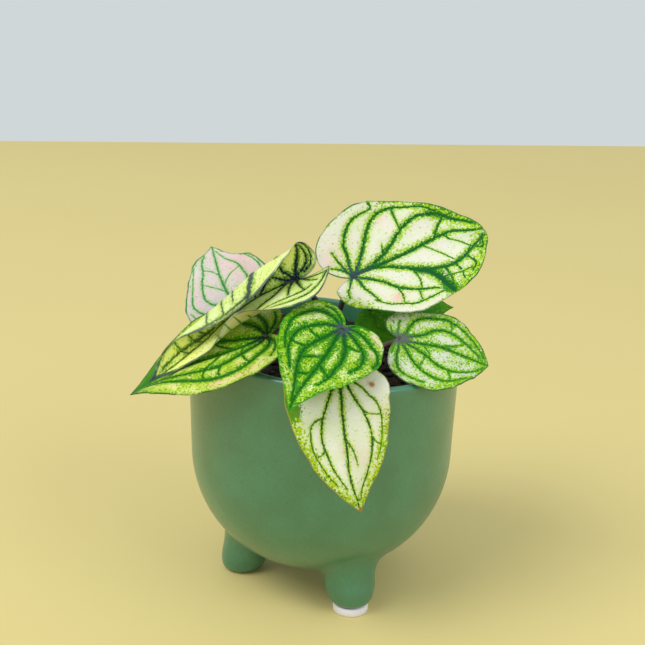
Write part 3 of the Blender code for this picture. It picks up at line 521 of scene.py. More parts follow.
class LeafSettings(bpy.types.PropertyGroup):
    """Sizes and colours that all the leaves share."""
    rays: IntProperty(name="Rays", description="Steps round each blade", default=220, min=40)
    rings: IntProperty(name="Rings", description="Steps from the stem out to the margin",
                       default=60, min=10)
    thickness: length_value("Thickness", "Thickness of a blade by its midrib", 0.00055)
    edge: length_value("Edge", "Thickness of a blade at its margin", 0.00032)
    relief: length_value("Relief", "Depth of the veins in the upper face", 0.00028)
    blush: colour_value("Blush", "Pink of the blushed patches", 236, 172, 168)
    stem_top: colour_value("Stem top", "Colour of a stem by its blade", 40, 52, 56)
    stem_foot: colour_value("Stem foot", "Colour of a stem at the soil", 150, 110, 96)


class SoilSettings(bpy.types.PropertyGroup):
    """Lumps and colours of the soil."""
    grains: IntProperty(name="Grains", description="Number of loose lumps on the soil", default=520,
                        min=0)
    dark: colour_value("Wet soil", "Colour of the dark soil", 38, 28, 22)
    light: colour_value("Fibres", "Colour of the paler bits of bark", 104, 78, 54)


class StageSettings(bpy.types.PropertyGroup):
    """The floor, the air and the lights."""
    floor: colour_value("Floor", "Colour of the floor", 216, 198, 133)
    air: colour_value("Air", "Colour behind the floor", 216, 223, 225)
    air_strength: FloatProperty(name="Air strength", description="Brightness of the air",
                                default=0.92, min=0.0)
    key: FloatProperty(name="Key light", description="Power of the large light", unit="POWER",
                       default=42.0, min=0.0)
    fill: FloatProperty(name="Fill light", description="Power of the soft light from the other side",
                        unit="POWER", default=17.5, min=0.0)


def math_step(operation, swapped=False):
    """A method that adds a Math node for a value and what it meets, in either order."""
    def step(self, other):
        terms = (other, self) if swapped else (self, other)
        return self.finish.node("ShaderNodeMath", {"operation": operation}, dict(enumerate(terms)))
    return step


class Value:
    """A shader socket that can stand in sums."""

    def __init__(self, finish, socket):
        self.finish = finish
        self.socket = socket

    __add__ = math_step("ADD")
    __radd__ = math_step("ADD", swapped=True)
    __sub__ = math_step("SUBTRACT")
    __rsub__ = math_step("SUBTRACT", swapped=True)
    __mul__ = math_step("MULTIPLY")
    __rmul__ = math_step("MULTIPLY", swapped=True)
    __truediv__ = math_step("DIVIDE")
    __rtruediv__ = math_step("DIVIDE", swapped=True)
    most = math_step("MAXIMUM")
    least = math_step("MINIMUM")
    power = math_step("POWER")

    def ramp(self, low, high, start=0.0, end=1.0):
        """Smooth change from one value to another between two levels."""
        return self.finish.node("ShaderNodeMapRange", {"interpolation_type": "SMOOTHSTEP"},
                                {0: self, 1: low, 2: high, 3: start, 4: end})


class Finish:
    """A material and the short words that build its nodes."""

    def __init__(self, name, **constants):
        self.material = bpy.data.materials.new(name)
        self.material.use_nodes = True
        self.tree = self.material.node_tree
        self.shader = self.tree.nodes["Principled BSDF"]
        for socket, value in constants.items():
            self.shader.inputs[socket.replace("_", " ")].default_value = value

    def node(self, kind, settings=None, sockets=None, out=0):
        """Add a node: its settings first, then the values or links of its sockets."""
        made = self.tree.nodes.new(kind)
        for setting, value in (settings or {}).items():
            setattr(made, setting, value)
        for key, value in (sockets or {}).items():
            if isinstance(value, Value):
                self.tree.links.new(value.socket, made.inputs[key])
            else:
                made.inputs[key].default_value = value
        return Value(self, made.outputs[out])

    def attribute(self, name):
        return self.node("ShaderNodeAttribute", {"attribute_name": name}, out="Vector")

    def parts(self, vector):
        """The three numbers of a vector."""
        split = self.node("ShaderNodeSeparateXYZ", None, {0: vector}).socket.node
        return [Value(self, socket) for socket in split.outputs]

    def place(self):
        return self.node("ShaderNodeTexCoord", out="Object")

    def noise(self, where, scale, detail=2.0, rough=0.5, warp=0.0):
        return self.node("ShaderNodeTexNoise", None, {
            "Vector": where, "Scale": scale, "Detail": detail, "Roughness": rough,
            "Distortion": warp})

    def cell_draws(self, where, scale):
        """Three numbers from 0 to 1, each the same all over a small cell of the blade."""
        colour = self.node("ShaderNodeTexVoronoi", {"voronoi_dimensions": "2D"},
                           {"Vector": where, "Scale": scale}, out="Color")
        return self.parts(colour)

    def cells(self, where, scale):
        """Distance to the middle of the nearest cell."""
        return self.node("ShaderNodeTexVoronoi", None, {"Vector": where, "Scale": scale},
                         out="Distance")

    def mix(self, share, first, second):
        """A colour between two."""
        return self.node("ShaderNodeMix", {"data_type": "RGBA", "clamp_factor": True},
                         {0: share, 6: first, 7: second}, out=2)

    def bump(self, height, strength, distance):
        return self.node("ShaderNodeBump", None, {
            "Height": height, "Strength": strength, "Distance": distance})

    def wear(self, **sockets):
        """Link values that change over the surface to the shader."""
        for socket, value in sockets.items():
            self.tree.links.new(value.socket, self.shader.inputs[socket.replace("_", " ")])
        return self.material


def dress(name, bm, finish, slot, *nodes):
    """Turn a drawing in mm about the pot's axis into a finished piece of the object."""
    bmesh.ops.translate(bm, verts=bm.verts, vec=POT_AXIS)
    bmesh.ops.scale(bm, verts=bm.verts, vec=(MM, MM, MM))
    for face in bm.faces:
        face.smooth = True
    mesh = bpy.data.meshes.new(name)
    bm.to_mesh(mesh)
    bm.free()
    piece = bpy.data.objects.new(name, mesh)
    piece.data.materials.append(finish)
    bpy.context.scene.collection.objects.link(piece)
    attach(piece, "root")
    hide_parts(*nodes)
    return piece


def turned(chain, steps):
    """Turn a chain of radius and height about the upright axis and close it where it meets."""
    bm = bmesh.new()
    verts = [bm.verts.new((radius, 0.0, height)) for radius, height in chain]
    edges = [bm.edges.new(pair) for pair in zip(verts, verts[1:])]
    bmesh.ops.spin(bm, geom=verts + edges, cent=(0.0, 0.0, 0.0), axis=(0.0, 0.0, 1.0),
                   angle=math.tau, steps=steps, use_merge=True)
    on_axis = [vert for vert in bm.verts if math.hypot(vert.co.x, vert.co.y) < 1e-5]
    bmesh.ops.remove_doubles(bm, verts=on_axis, dist=1e-4)
    return bm


def smooth_step(value):
    value = np.clip(value, 0.0, 1.0)
    return value * value * (3.0 - 2.0 * value)


def bezier(points, part):
    """Points on the cubic curve that four control points shape."""
    part = np.asarray(part, float)[..., None]
    rest = 1.0 - part
    weights = (rest ** 3, 3.0 * rest ** 2 * part, 3.0 * rest * part ** 2, part ** 3)
    return sum(weight * np.asarray(point, float) for point, weight in zip(points, weights))


# Blades

# Steps of a bend and of each curve of the outline, step along a vein (mm), and how far from a
# vein its sideways offset is used in place of its distance (mm)
BEND_STEPS = 20
CURVE_STEPS = 48
VEIN_STEP = 0.7
NEAR_VEIN = 0.6

# Small unevenness of a margin: waves round it and their height, and how far from the stem and
# from the tip it fades out (mm)
UNEVEN_MARGIN = ((13, 0.17), (22, 0.11), (37, 0.07))
EVEN_BY_STEM = 12.0
EVEN_BY_TIP = 14.0

# Form of the two faces (mm): how wide the thin margin is and how round; a groove's least width,
# its growth with the vein, where it ends before the margin, the most that a wide vein deepens it
# and the share of its depth that shows underneath; how high the blade is puffed up between its
# veins, and how far from a vein and from the margin it gets there
THIN_MARGIN = 6.0
MARGIN_ROUND = 0.1
GROOVE_LEAST = 0.5
GROOVE_GROWTH = 1.2
GROOVE_END = 1.5
GROOVE_MOST = 1.3
GROOVE_UNDER = 0.6
PUFF = 0.22
PUFF_FROM_VEIN = 3.0
PUFF_FROM_MARGIN = 4.0


# How far each curve of a blade's outline keeps its direction, as a share of its own span
NOTCH_AHEAD = 0.45
NOTCH_OUT = 0.35
LOBE_BEFORE = 0.55
LOBE_AFTER = 0.6
WIDE_BEFORE = 0.6


def half_outline(side, spec):
    """Outline of one half, from the notch round the back lobe to the tip, on its + side."""
    back, lobe, wide_at, half_width, full = side
    length = spec["length"]
    notch_point = np.array((-spec["notch"], 0.0))
    lobe_point = np.array((-back, lobe))
    wide_point = np.array((wide_at, half_width))
    tip = np.array((length, 0.0))
    ahead = length - wide_at
    lean = math.radians(spec["tip_angle"])
    out = np.array((lobe_point[0] - notch_point[0], NOTCH_OUT * lobe))
    spans = (
        (notch_point, notch_point + NOTCH_AHEAD * out, lobe_point - (0.0, LOBE_BEFORE * lobe),
         lobe_point),
        (lobe_point, lobe_point + (0.0, LOBE_AFTER * (half_width - lobe)),
         wide_point - (WIDE_BEFORE * (wide_at + back), 0.0), wide_point),
        (wide_point, wide_point + (full * ahead, 0.0),
         tip + spec["tip_reach"] * ahead * np.array((-math.cos(lean), math.sin(lean))), tip),
    )
    steps = np.arange(1, CURVE_STEPS + 1) / CURVE_STEPS
    return np.concatenate([notch_point[None]] + [bezier(span, steps) for span in spans])


def lengths_along(points):
    return np.concatenate(([0.0], np.cumsum(np.linalg.norm(np.diff(points, axis=0), axis=1))))


def spread(points, count):
    """Evenly spaced points on a line, and how far along it each lies."""
    lengths = lengths_along(points)
    want = np.linspace(0.0, lengths[-1], count + 1)
    line = np.stack([np.interp(want, lengths, points[:, axis]) for axis in range(points.shape[1])], -1)
    return line, want


def margin(spec, rays):
    """Points round the blade and the share of the way round, from the notch and back to it."""
    half = rays // 2
    left, left_along = spread(half_outline(spec["left"], spec), half)
    right, right_along = spread(half_outline(spec["right"], spec), half)
    whole = left_along[-1] + right_along[-1]
    points = np.concatenate((left, right[-2:0:-1] * (1.0, -1.0)))
    shares = np.concatenate((left_along, whole - right_along[-2:0:-1])) / whole
    reach = np.linalg.norm(points, axis=1)
    from_tip = np.hypot(points[:, 0] - spec["length"], points[:, 1])
    calm = smooth_step(reach / EVEN_BY_STEM) * smooth_step(from_tip / EVEN_BY_TIP)
    uneven = sum(height * np.sin(math.tau * turns * shares + spec["length"] * turns)
                 for turns, height in UNEVEN_MARGIN)
    return points * (1.0 + calm * uneven / np.maximum(reach, 1.0))[:, None], shares


def margin_wave(spec, share):
    """Height of the large waves at a share of the way round the margin."""
    (three, three_phase), (six, six_phase) = spec["waves"]
    swing = three * np.sin(3.0 * math.tau * share + math.radians(three_phase))
    swing = swing + six * np.sin(6.0 * math.tau * share + math.radians(six_phase))
    return swing * np.sqrt(np.maximum(np.sin(math.pi * share), 0.0))


def cross_bend(spec, u, across, left):
    """Angle of the blade's cross-section at a distance from the midrib."""
    start_left, more_left = np.radians(spec["fold_left"])
    start_right, more_right = np.radians(spec["fold_right"])
    angle_left = start_left + more_left * across
    angle_right = start_right + more_right * across
    if "curl_right" in spec:
        curl, ramp_from, ramp_to = spec["curl_right"]
        ramp = smooth_step((u - ramp_from) / (ramp_to - ramp_from))
        angle_right = angle_right + math.radians(curl) * ramp * across
    if "roll_left" in spec:
        roll, centre, width, beyond = spec["roll_left"]
        bulge = np.exp(-((u - centre) / width) ** 2)
        angle_left = angle_left + math.radians(roll) * bulge * np.maximum(across - beyond, 0.0)
    return np.where(left, angle_left, angle_right)


def leaf_frame(spec):
    """Directions along the midrib, to its left and out of the upper face."""
    heading = math.radians(spec["heading"])
    rise = math.radians(spec["rise"])
    roll = math.radians(spec["roll"])
    along = np.array((math.cos(heading) * math.cos(rise), math.sin(heading) * math.cos(rise),
                      math.sin(rise)))
    up = np.array((-math.cos(heading) * math.sin(rise), -math.sin(heading) * math.sin(rise),
                   math.cos(rise)))
    left = np.cross(up, along)
    return (along, math.cos(roll) * left + math.sin(roll) * up,
            -math.sin(roll) * left + math.cos(roll) * up)


def blade_points(spec, u, v, wave):
    """Carry points of the flat outline onto the bent, folded and waved blade."""
    across = np.zeros_like(u)
    above = wave.copy()
    for step in range(BEND_STEPS):
        angle = cross_bend(spec, u, abs(v) * (step + 0.5) / BEND_STEPS, v >= 0.0)
        across += v * np.cos(angle) / BEND_STEPS
        above += abs(v) * np.sin(angle) / BEND_STEPS
    twist = math.radians(spec.get("twist", 0.0)) * np.maximum(u, 0.0)
    across, above = (across * np.cos(twist) - above * np.sin(twist),
                     across * np.sin(twist) + above * np.cos(twist))
    front = u >= 0.0
    droop = np.radians(np.where(front, spec["droop"][0], spec["back_droop"]))
    more = np.radians(np.where(front, spec["droop"][1], 0.0)) / 100.0
    sweep = math.radians(spec["sweep"])
    base = np.zeros((len(u), 3))
    for step in range(BEND_STEPS):
        at = u * (step + 0.5) / BEND_STEPS
        down = (droop + more * at) * at
        ahead = np.stack((np.cos(down) * np.cos(sweep * at), np.cos(down) * np.sin(sweep * at),
                          -np.sin(down)), -1)
        base += ahead * (u / BEND_STEPS)[:, None]
    bend = (droop + more * u) * u
    turn = sweep * u
    sideways = np.stack((-np.sin(turn), np.cos(turn), 0.0 * turn), -1)
    outwards = np.stack((np.sin(bend) * np.cos(turn), np.sin(bend) * np.sin(turn), np.cos(bend)), -1)
    local = base + across[:, None] * sideways + above[:, None] * outwards
    return np.array(spec["junction"]) + local @ np.array(leaf_frame(spec))


def smooth_line(flat_points):
    """A smooth line through points, finely stepped, with the share of the way along it."""
    knots = np.array(flat_points, float).reshape(-1, 2)
    ends = np.concatenate((knots[:1] * 2.0 - knots[1:2], knots, knots[-1:] * 2.0 - knots[-2:-1]))
    steps = np.arange(6)[:, None] / 6.0
    spans = []
    for before, start, end, after in zip(ends, ends[1:], ends[2:], ends[3:]):
        handles = (start, start + (end - before) / 6.0, end - (after - start) / 6.0, end)
        spans.append(bezier(handles, steps[:, 0]))
    line = np.concatenate(spans + [knots[-1:]])
    line, along = spread(line, max(int(lengths_along(line)[-1] / VEIN_STEP), 2))
    return line, along / along[-1]


def vein_field(name, points):
    """Offset to the nearest vein, distance to it, and that vein's half width."""
    best = np.full(len(points), 1e9)
    field = np.zeros((len(points), 4))
    scale = VEIN_SCALE[name]
    for start_width, end_width, *flat_points in VEINS[name]:
        line, share = smooth_line(flat_points)
        ahead = np.diff(line, axis=0)
        from_start = points[:, None] - line[None, :-1]
        part = (from_start * ahead).sum(-1) / (ahead ** 2).sum(-1)
        part = np.clip(part, 0.0, 1.0)
        offset = from_start - part[..., None] * ahead
        distance = np.linalg.norm(offset, axis=-1)
        along = share[:-1] + part * np.diff(share)
        width = 0.5 * scale * (start_width + (end_width - start_width) * along ** 0.7)
        gap = distance - width
        nearest = gap.argmin(1)
        rows = np.arange(len(points))
        closer = gap[rows, nearest] < best
        best[closer] = gap[rows, nearest][closer]
        found = np.concatenate((offset[rows, nearest], distance[rows, nearest, None],
                                width[rows, nearest, None]), 1)
        field[closer] = found[closer]
    return field


def margin_distance(points, outline):
    """Distance from each point to the blade's outline."""
    loop = np.concatenate((outline, outline[:1]))
    ahead = np.diff(loop, axis=0)
    from_start = points[:, None] - loop[None, :-1]
    part = np.clip((from_start * ahead).sum(-1) / (ahead ** 2).sum(-1), 0.0, 1.0)
    return np.linalg.norm(from_start - part[..., None] * ahead, axis=-1).min(1)


def nearness(points, along, left, reach):
    """From 1 at a place of the blade down to nothing past a reach."""
    return np.exp(-(np.hypot(points[:, 0] - along, points[:, 1] - left) / reach) ** 2)


def edge_speckle(name, points):
    base, *places = EDGE_SPECKLE[name]
    strength = np.full(len(points), base)
    for along, left, reach, share in places:
        strength += share * nearness(points, along, left, reach)
    return np.clip(strength, 0.0, 1.2)


def patch_strengths(name, points):
    strengths = np.zeros((len(points), 3))
    for along, left, reach, *shares in PATCHES[name]:
        strengths += nearness(points, along, left, reach)[:, None] * np.array(shares)
    return np.minimum(strengths, 1.0)


def blade_disc(rays, rings):
    """A flat round disc, with the ray that each vertex is on and how far out it lies, 0 to 1."""
    bm = turned([(ring / rings, 0.0) for ring in range(rings + 1)], rays)
    places = np.array([vert.co for vert in bm.verts])
    reach = np.hypot(places[:, 0], places[:, 1])
    turn = (math.pi - np.arctan2(places[:, 1], places[:, 0])) / math.tau
    ray = np.round(turn * rays).astype(int) % rays
    return bm, ray, reach


def store(bm, layer_name, rows):
    layer = bm.verts.layers.float_vector.new(layer_name)
    for vert, row in zip(bm.verts, rows):
        vert[layer] = row


def face_gaps(field, rim, settings):
    """How far the two faces lie from the blade's middle: less by the margin and the veins."""
    away, half_width = field[:, 2], field[:, 3]
    thicker = settings.thickness - settings.edge
    half = 0.5 * (settings.edge + thicker * smooth_step(rim / THIN_MARGIN)) / MM
    spread_out = away / (GROOVE_LEAST + GROOVE_GROWTH * half_width)
    groove = np.exp(-spread_out ** 2) * smooth_step(rim / GROOVE_END)
    depth = settings.relief / MM * np.minimum(half_width / 0.5, GROOVE_MOST) * groove
    puff = PUFF * smooth_step(away / PUFF_FROM_VEIN) * smooth_step(rim / PUFF_FROM_MARGIN)
    return half - depth + puff, half + GROOVE_UNDER * depth - puff


def bend_disc(bm, middle, up):
    """Move the disc onto the blade's middle and return the normals of its upper face."""
    for vert, place in zip(bm.verts, middle):
        vert.co = place
    bm.normal_update()
    normals = np.array([vert.normal for vert in bm.verts])
    if (normals @ up).mean() < 0.0:
        bmesh.ops.reverse_faces(bm, faces=bm.faces)
        normals = -normals
    return normals


def part_faces(bm, flat, top, under):
    """Copy the disc, move one copy to each face of the blade and note which side it is."""
    upper_verts = list(bm.verts)
    copied = bmesh.ops.duplicate(bm, geom=bm.verts[:] + bm.edges[:] + bm.faces[:])
    under_faces = [item for item in copied["geom"] if isinstance(item, bmesh.types.BMFace)]
    pairs = copied["vert_map"]
    side = bm.verts.layers.float_vector["blade"]
    for index, vert in enumerate(upper_verts):
        below = pairs[vert]
        below.co = under[index]
        below[side] = (flat[index, 0], flat[index, 1], 1.0)
        vert.co = top[index]
    bmesh.ops.reverse_faces(bm, faces=under_faces)


def make_blade(name, spec, settings, disc):
    """One blade: a disc carried onto the leaf's form, with sunk veins and a rounded margin."""
    flat_disc, ray, reach = disc
    bm = flat_disc.copy()
    outline, shares = margin(spec, settings.rays)
    flat = outline[ray] * reach[:, None]
    wave = margin_wave(spec, shares[ray]) * reach ** 2.5
    middle = blade_points(spec, flat[:, 0], flat[:, 1], wave)
    field = vein_field(name, flat)
    rim = margin_distance(flat, outline)
    store(bm, "blade", np.column_stack((flat, np.zeros(len(flat)))))
    store(bm, "vein", field[:, :3])
    store(bm, "edge", np.column_stack((field[:, 3], rim, edge_speckle(name, flat))))
    store(bm, "patch", patch_strengths(name, flat))
    normals = bend_disc(bm, middle, leaf_frame(spec)[2])
    above, below = face_gaps(field, rim, settings)
    part_faces(bm, flat, middle + normals * above[:, None], middle - normals * below[:, None])
    close_margin(bm)
    return bm


def close_margin(bm):
    """Join the two faces of a blade round its margin and round it off."""
    loops = [edge for edge in bm.edges if edge.is_boundary]
    band = bmesh.ops.bridge_loops(bm, edges=loops)["faces"]
    known = set(loops)
    ties = list({edge for face in band for edge in face.edges if edge not in known})
    cut = bmesh.ops.subdivide_edges(bm, edges=ties, cuts=1, use_grid_fill=True)
    round_verts = [item for item in cut["geom_inner"] if isinstance(item, bmesh.types.BMVert)]
    bm.normal_update()
    for vert in round_verts:
        vert.co += vert.normal * MARGIN_ROUND


def read_marks(finish, look):
    """What the shader knows at a place on a blade: its veins, margin, patches and random draws."""
    marks = SimpleNamespace(where=finish.attribute("blade"))
    marks.along, marks.across, marks.under = finish.parts(marks.where)
    offset_x, offset_y, far = finish.parts(finish.attribute("vein"))
    marks.half_width, marks.rim, marks.rim_strength = finish.parts(finish.attribute("edge"))
    # The third patch strength is a mark; on the folded leaf it places the wash of painted light
    marks.blush, marks.green_patch, marks.marked = finish.parts(finish.attribute("patch"))
    marks.ragged = finish.noise(marks.where, 0.95, 3.0, 0.75) - 0.5
    marks.broad = finish.noise(marks.where, 0.11, 2.0, 0.5)
    marks.first, marks.second, marks.third = finish.cell_draws(marks.where, 1.25)
    marks.fine, marks.shade, marks.fourth = finish.cell_draws(marks.where, 1.7)
    near = (offset_x * offset_x + offset_y * offset_y).power(0.5)
    marks.strength = (marks.half_width * 2.0 + 0.15).least(1.4)
    marks.beside = near.most(far - NEAR_VEIN) - marks.half_width + marks.ragged * marks.strength * 3.4
    marks.inwards = (marks.rim + marks.ragged * 1.6) / look["edge_reach"]
    return marks


def ground_colour(finish, marks, look, settings):
    """The pale ground with its patches, and a green haze beside the veins and the margin."""
    halo = marks.beside.ramp(look["reach"] * 1.5, 0.0) * marks.strength.least(1.0)
    halo = halo.most((marks.rim_strength * 0.8 - marks.inwards * 0.8).ramp(0.0, 0.8))
    ground = finish.mix(marks.broad.ramp(0.35, 0.65), paint(*look["ground"]),
                        paint(*look["ground_two"]))
    # The wash is painted light: the folded leaf's own pale yellow, made paler where its curl lies in
    # shade
    if "wash_and_painted_light" in look:
        ground = finish.mix(marks.marked, ground, paint(*look["wash_and_painted_light"]))
    pink = paint(*look["blush"]) if "blush" in look else tuple(settings.blush)
    ground = finish.mix(marks.blush * 0.85, ground, pink)
    ground = finish.mix(halo * 0.5, ground, paint(*look["speckle"]))
    return finish.mix(marks.shade * 0.10, ground, SHADOW_GREEN)


def speckle_share(marks, look):
    """Share of the speckle: thick beside the veins and the margin, rare on the ground."""
    beside = marks.beside / (marks.strength * look["reach"])
    fringe = (marks.second * 0.9 + 0.1 - beside).ramp(-0.08, 0.08)
    rim = (marks.third - 1.0 + marks.rim_strength * 0.72 - marks.inwards).ramp(-0.06, 0.06)
    dots = (marks.fine - marks.broad.ramp(0.3, 0.7) * 2.0 * look["dots"]).ramp(0.02, -0.02)
    faint = marks.beside.ramp(0.1, -0.1) * 0.8
    return (fringe * 0.85).most(rim).most(dots).most(faint)


def green_share(marks, look):
    """Share of the full green: a ring round the veins, dots, and the green patches."""
    beside = marks.beside / (marks.strength * look["ring"])
    ring = (marks.first * 0.85 + 0.15 - beside).ramp(-0.06, 0.06)
    rim = (marks.fourth - 1.0 + marks.rim_strength * 0.34 - marks.inwards).ramp(-0.06, 0.06)
    dots = (marks.fourth - marks.broad.ramp(0.35, 0.7) * 2.0 * look["green_dots"]).ramp(0.02, -0.02)
    patch = (marks.green_patch + (marks.fine - 0.5) * 0.3 + marks.ragged * 0.8).ramp(0.3, 0.42)
    return ring.most(rim).most(dots).most(patch) * 0.92


def leaf_colour(finish, marks, look, settings):
    """Colour of a leaf's upper face and the share of its dark vein cores."""
    speckle = finish.mix(marks.shade * marks.shade * 0.6, paint(*look["speckle"]),
                         paint(*look["green"]))
    ground = ground_colour(finish, marks, look, settings)
    colour = finish.mix(speckle_share(marks, look), ground, speckle)
    colour = finish.mix(green_share(marks, look), colour, paint(*look["green"]))
    core = marks.beside.ramp(0.10, -0.10) * marks.half_width.ramp(0.08, 0.24)
    from_stem = (marks.along * marks.along + marks.across * marks.across).power(0.5)
    further = from_stem.ramp(*look.get("stem_zone", NEAR_STEM))
    colour = finish.mix(core, colour, finish.mix(further, paint(*look["core"]), paint(*look["vein"])))
    line = (marks.rim + marks.ragged * 0.3).ramp(look["line_width"] * 1.2, look["line_width"] * 0.6)
    line = line * marks.broad.ramp(0.38, 0.58, 0.4, 0.95)
    colour = finish.mix(line, colour, paint(*look["line"]))
    if "mark" in look:
        marked = (marks.marked + (marks.fine - 0.5) * 0.25).ramp(0.2, 0.8)
        colour = finish.mix(marked, colour, paint(*look["mark"]))
    return colour, core


def leaf_finish(name, settings):
    look = LEAF_FINISH[name]
    finish = Finish(f"{name}_skin", Specular_IOR_Level=0.15, Subsurface_Weight=0.12,
                    Subsurface_Scale=0.0008, Subsurface_Radius=(1.0, 1.0, 0.5))
    marks = read_marks(finish, look)
    colour, core = leaf_colour(finish, marks, look, settings)
    pale = finish.mix(0.12, colour, paint(184, 204, 160))
    face = finish.mix(marks.under.ramp(0.4, 0.6), colour, pale)
    rough = 0.46 + finish.noise(marks.where, 0.5, 2.0) * 0.16
    return finish.wear(Base_Color=face, Roughness=rough,
                       Normal=finish.bump(marks.shade * 0.3 - core * 0.6, 0.3, 0.0003))


# Stems

def soil_level(x, y):
    """Height of the lumpy soil top at a point of the drawing."""
    level = SOIL_TOP - SOIL_LEAN * x
    for height, wave_x, phase_x, wave_y, phase_y in CLODS:
        level = level + (height * np.sin(x * wave_x / 100.0 + phase_x)
                         * np.sin(y * wave_y / 100.0 + phase_y))
    return level


def stem_line(spec, steps):
    """Middle line of the stem, from its foot in the soil up into the blade."""
    x, y = spec["foot"]
    level = float(soil_level(x, y))
    ground = np.array((x, y, level + 1.0))
    junction = np.array(spec["junction"])
    arrival = np.array(spec["arrival"]) / np.linalg.norm(spec["arrival"])
    low, high = spec["reach"]
    control = (ground, ground + (0.0, 0.0, low), junction - arrival * high, junction)
    curve = bezier(control, np.arange(steps + 1) / steps)
    foot = np.array((x, y, level - STEM_DEPTH))
    return np.concatenate((foot[None], curve))


def make_stem(spec):
    """A tapered tube along the stem's line, closed at both ends."""
    line = stem_line(spec, STEM_STEPS)
    bm = bmesh.new()
    bmesh.ops.create_circle(bm, cap_ends=True, segments=STEM_SIDES, radius=1.0)
    face = bm.faces[:][0]
    side = Vector((1.0, 0.0, 0.0))
    for number, point in enumerate(line):
        before = Vector(line[max(number - 1, 0)])
        after = Vector(line[min(number + 1, len(line) - 1)])
        ahead = (after - before).normalized()
        side = (side - ahead * side.dot(ahead)).normalized()
        other = ahead.cross(side)
        radius = STEM_RADIUS - STEM_TAPER * number / (len(line) - 1)
        if number:
            face = bmesh.ops.extrude_discrete_faces(bm, faces=[face])["faces"][0]
        for step, vert in enumerate(face.verts):
            turn = math.tau * step / STEM_SIDES
            vert.co = Vector(point) + radius * (math.cos(turn) * side + math.sin(turn) * other)
    bmesh.ops.recalc_face_normals(bm, faces=bm.faces)
    return bm


# Pot

def belly(steps, inset=0.0, floor=0.0):
    """Radius and height up the round belly, drawn in by an inset and raised by a floor."""
    turn = 0.5 * math.pi * np.arange(steps + 1) / steps
    depth = (BELLY_TOP - BELLY_BOTTOM - floor) * np.cos(turn) ** (2.0 / BELLY_POWER_UP)
    radius = (BELLY_RADIUS - inset) * np.sin(turn) ** (2.0 / BELLY_POWER_OUT)
    chain = list(zip(radius.tolist(), (BELLY_TOP - depth).tolist()))
    chain[0] = (0.0, BELLY_BOTTOM + floor)
    return chain


def belly_height(radius):
    """Height of the belly's underside at a distance from the axis."""
    part = np.clip(radius / BELLY_RADIUS, 0.0, 1.0) ** (BELLY_POWER_OUT / 2.0)
    rise = np.sqrt(1.0 - part ** 2) ** (2.0 / BELLY_POWER_UP)
    return BELLY_TOP - (BELLY_TOP - BELLY_BOTTOM) * rise


def belly_under(place):
    return float(belly_height(math.hypot(place.x, place.y)))


def wall_radius(height, inset):
    part = (height - BELLY_TOP) / (RIM_HEIGHT - BELLY_TOP)
    return BELLY_RADIUS + (RIM_RADIUS - BELLY_RADIUS) * part - inset


def pot_chain():
    """Outside, rim and inside of the pot as one chain from axis to axis."""
    rim_round = 0.5 * WALL
    top = RIM_HEIGHT - rim_round
    levels = np.linspace(BELLY_TOP, top, WALL_LEVELS)[1:]
    outside = belly(OUTSIDE_STEPS) + [(wall_radius(level, 0.0), level) for level in levels]
    middle = wall_radius(RIM_HEIGHT, rim_round)
    over = [(middle + rim_round * math.cos(turn), top + rim_round * math.sin(turn))
            for turn in np.radians(RIM_TURNS)]
    inside = belly(INSIDE_STEPS, WALL, FLOOR_THICKNESS)
    inside += [(wall_radius(level, WALL), level) for level in levels[::2]]
    return outside + over + inside[::-1]


def lean_rim(bm):
    """Lean the upper part of the pot down towards its right."""
    for vert in bm.verts:
        part = smooth_step((vert.co.z - LEAN_START) / (RIM_HEIGHT - LEAN_START))
        vert.co.z -= RIM_LEAN * vert.co.x * float(part)


def grow_foot(bm, turn, bottom, neck):
    """Open the belly round a foot's axis and draw the opening down into a splayed foot."""
    angle = math.radians(turn)
    sole = Vector((FOOT_CIRCLE * math.sin(angle), -FOOT_CIRCLE * math.cos(angle), bottom))
    axis = Vector((-sole.x, -sole.y, 0.0)).normalized() * FOOT_SPLAY + Vector((0.0, 0.0, 1.0))

    def off_axis(place):
        return Vector((place.x - sole.x - axis.x * (place.z - bottom),
                       place.y - sole.y - axis.y * (place.z - bottom), 0.0))

    def in_opening(face):
        middle = face.calc_center_median()
        return (middle.z < BELLY_TOP and outer_face(face)
                and off_axis(middle).length < FOOT_OPENING - OPENING_SPARE)

    inside = [face for face in bm.faces if in_opening(face)]
    bmesh.ops.delete(bm, geom=inside, context="FACES")
    loop_edges = [edge for edge in bm.edges if edge.is_boundary]
    loop_verts = ring_of(loop_edges)
    round_opening(loop_verts, sole + axis * FOOT_ROOT, off_axis)
    relax_belly(bm, loop_verts)
    rows = foot_rows([vert.co.copy() for vert in loop_verts], sole, axis, neck, off_axis)
    draw_down(bm, loop_edges, loop_verts, rows)


def round_opening(loop_verts, root, off_axis):
    """Move the opening's edge onto a circle round the foot's axis, nearing the belly by steps."""
    flat = [off_axis(vert.co) for vert in loop_verts]
    start = math.atan2(flat[0].y, flat[0].x)
    second = math.atan2(flat[1].y, flat[1].x)
    way = 1.0 if (second - start) % math.tau < math.pi else -1.0
    for number, vert in enumerate(loop_verts):
        around = start + way * math.tau * number / len(loop_verts)
        out = Vector((math.cos(around), math.sin(around), 0.0))
        place = root + out * FOOT_OPENING
        for _ in range(6):
            place.z = belly_under(place)
            place += out * FOOT_OPENING - off_axis(place)
        place.z = belly_under(place)
        vert.co = place


def outer_face(face):
    """Whether a face of the body belongs to its outside."""
    middle = face.calc_center_median()
    return face.normal.dot(Vector((middle.x, middle.y, middle.z - BELLY_TOP))) > 0.0


def ring_of(edges):
    """The vertices of a closed loop of edges, in order."""
    follow = {}
    for edge in edges:
        first, second = edge.verts
        follow.setdefault(first, []).append(second)
        follow.setdefault(second, []).append(first)
    begin = edges[0].verts[0]
    ring = [begin]
    before, here = begin, follow[begin][0]
    while here is not begin:
        ring.append(here)
        nearby = follow[here]
        before, here = here, nearby[1] if nearby[0] is before else nearby[0]
    return ring


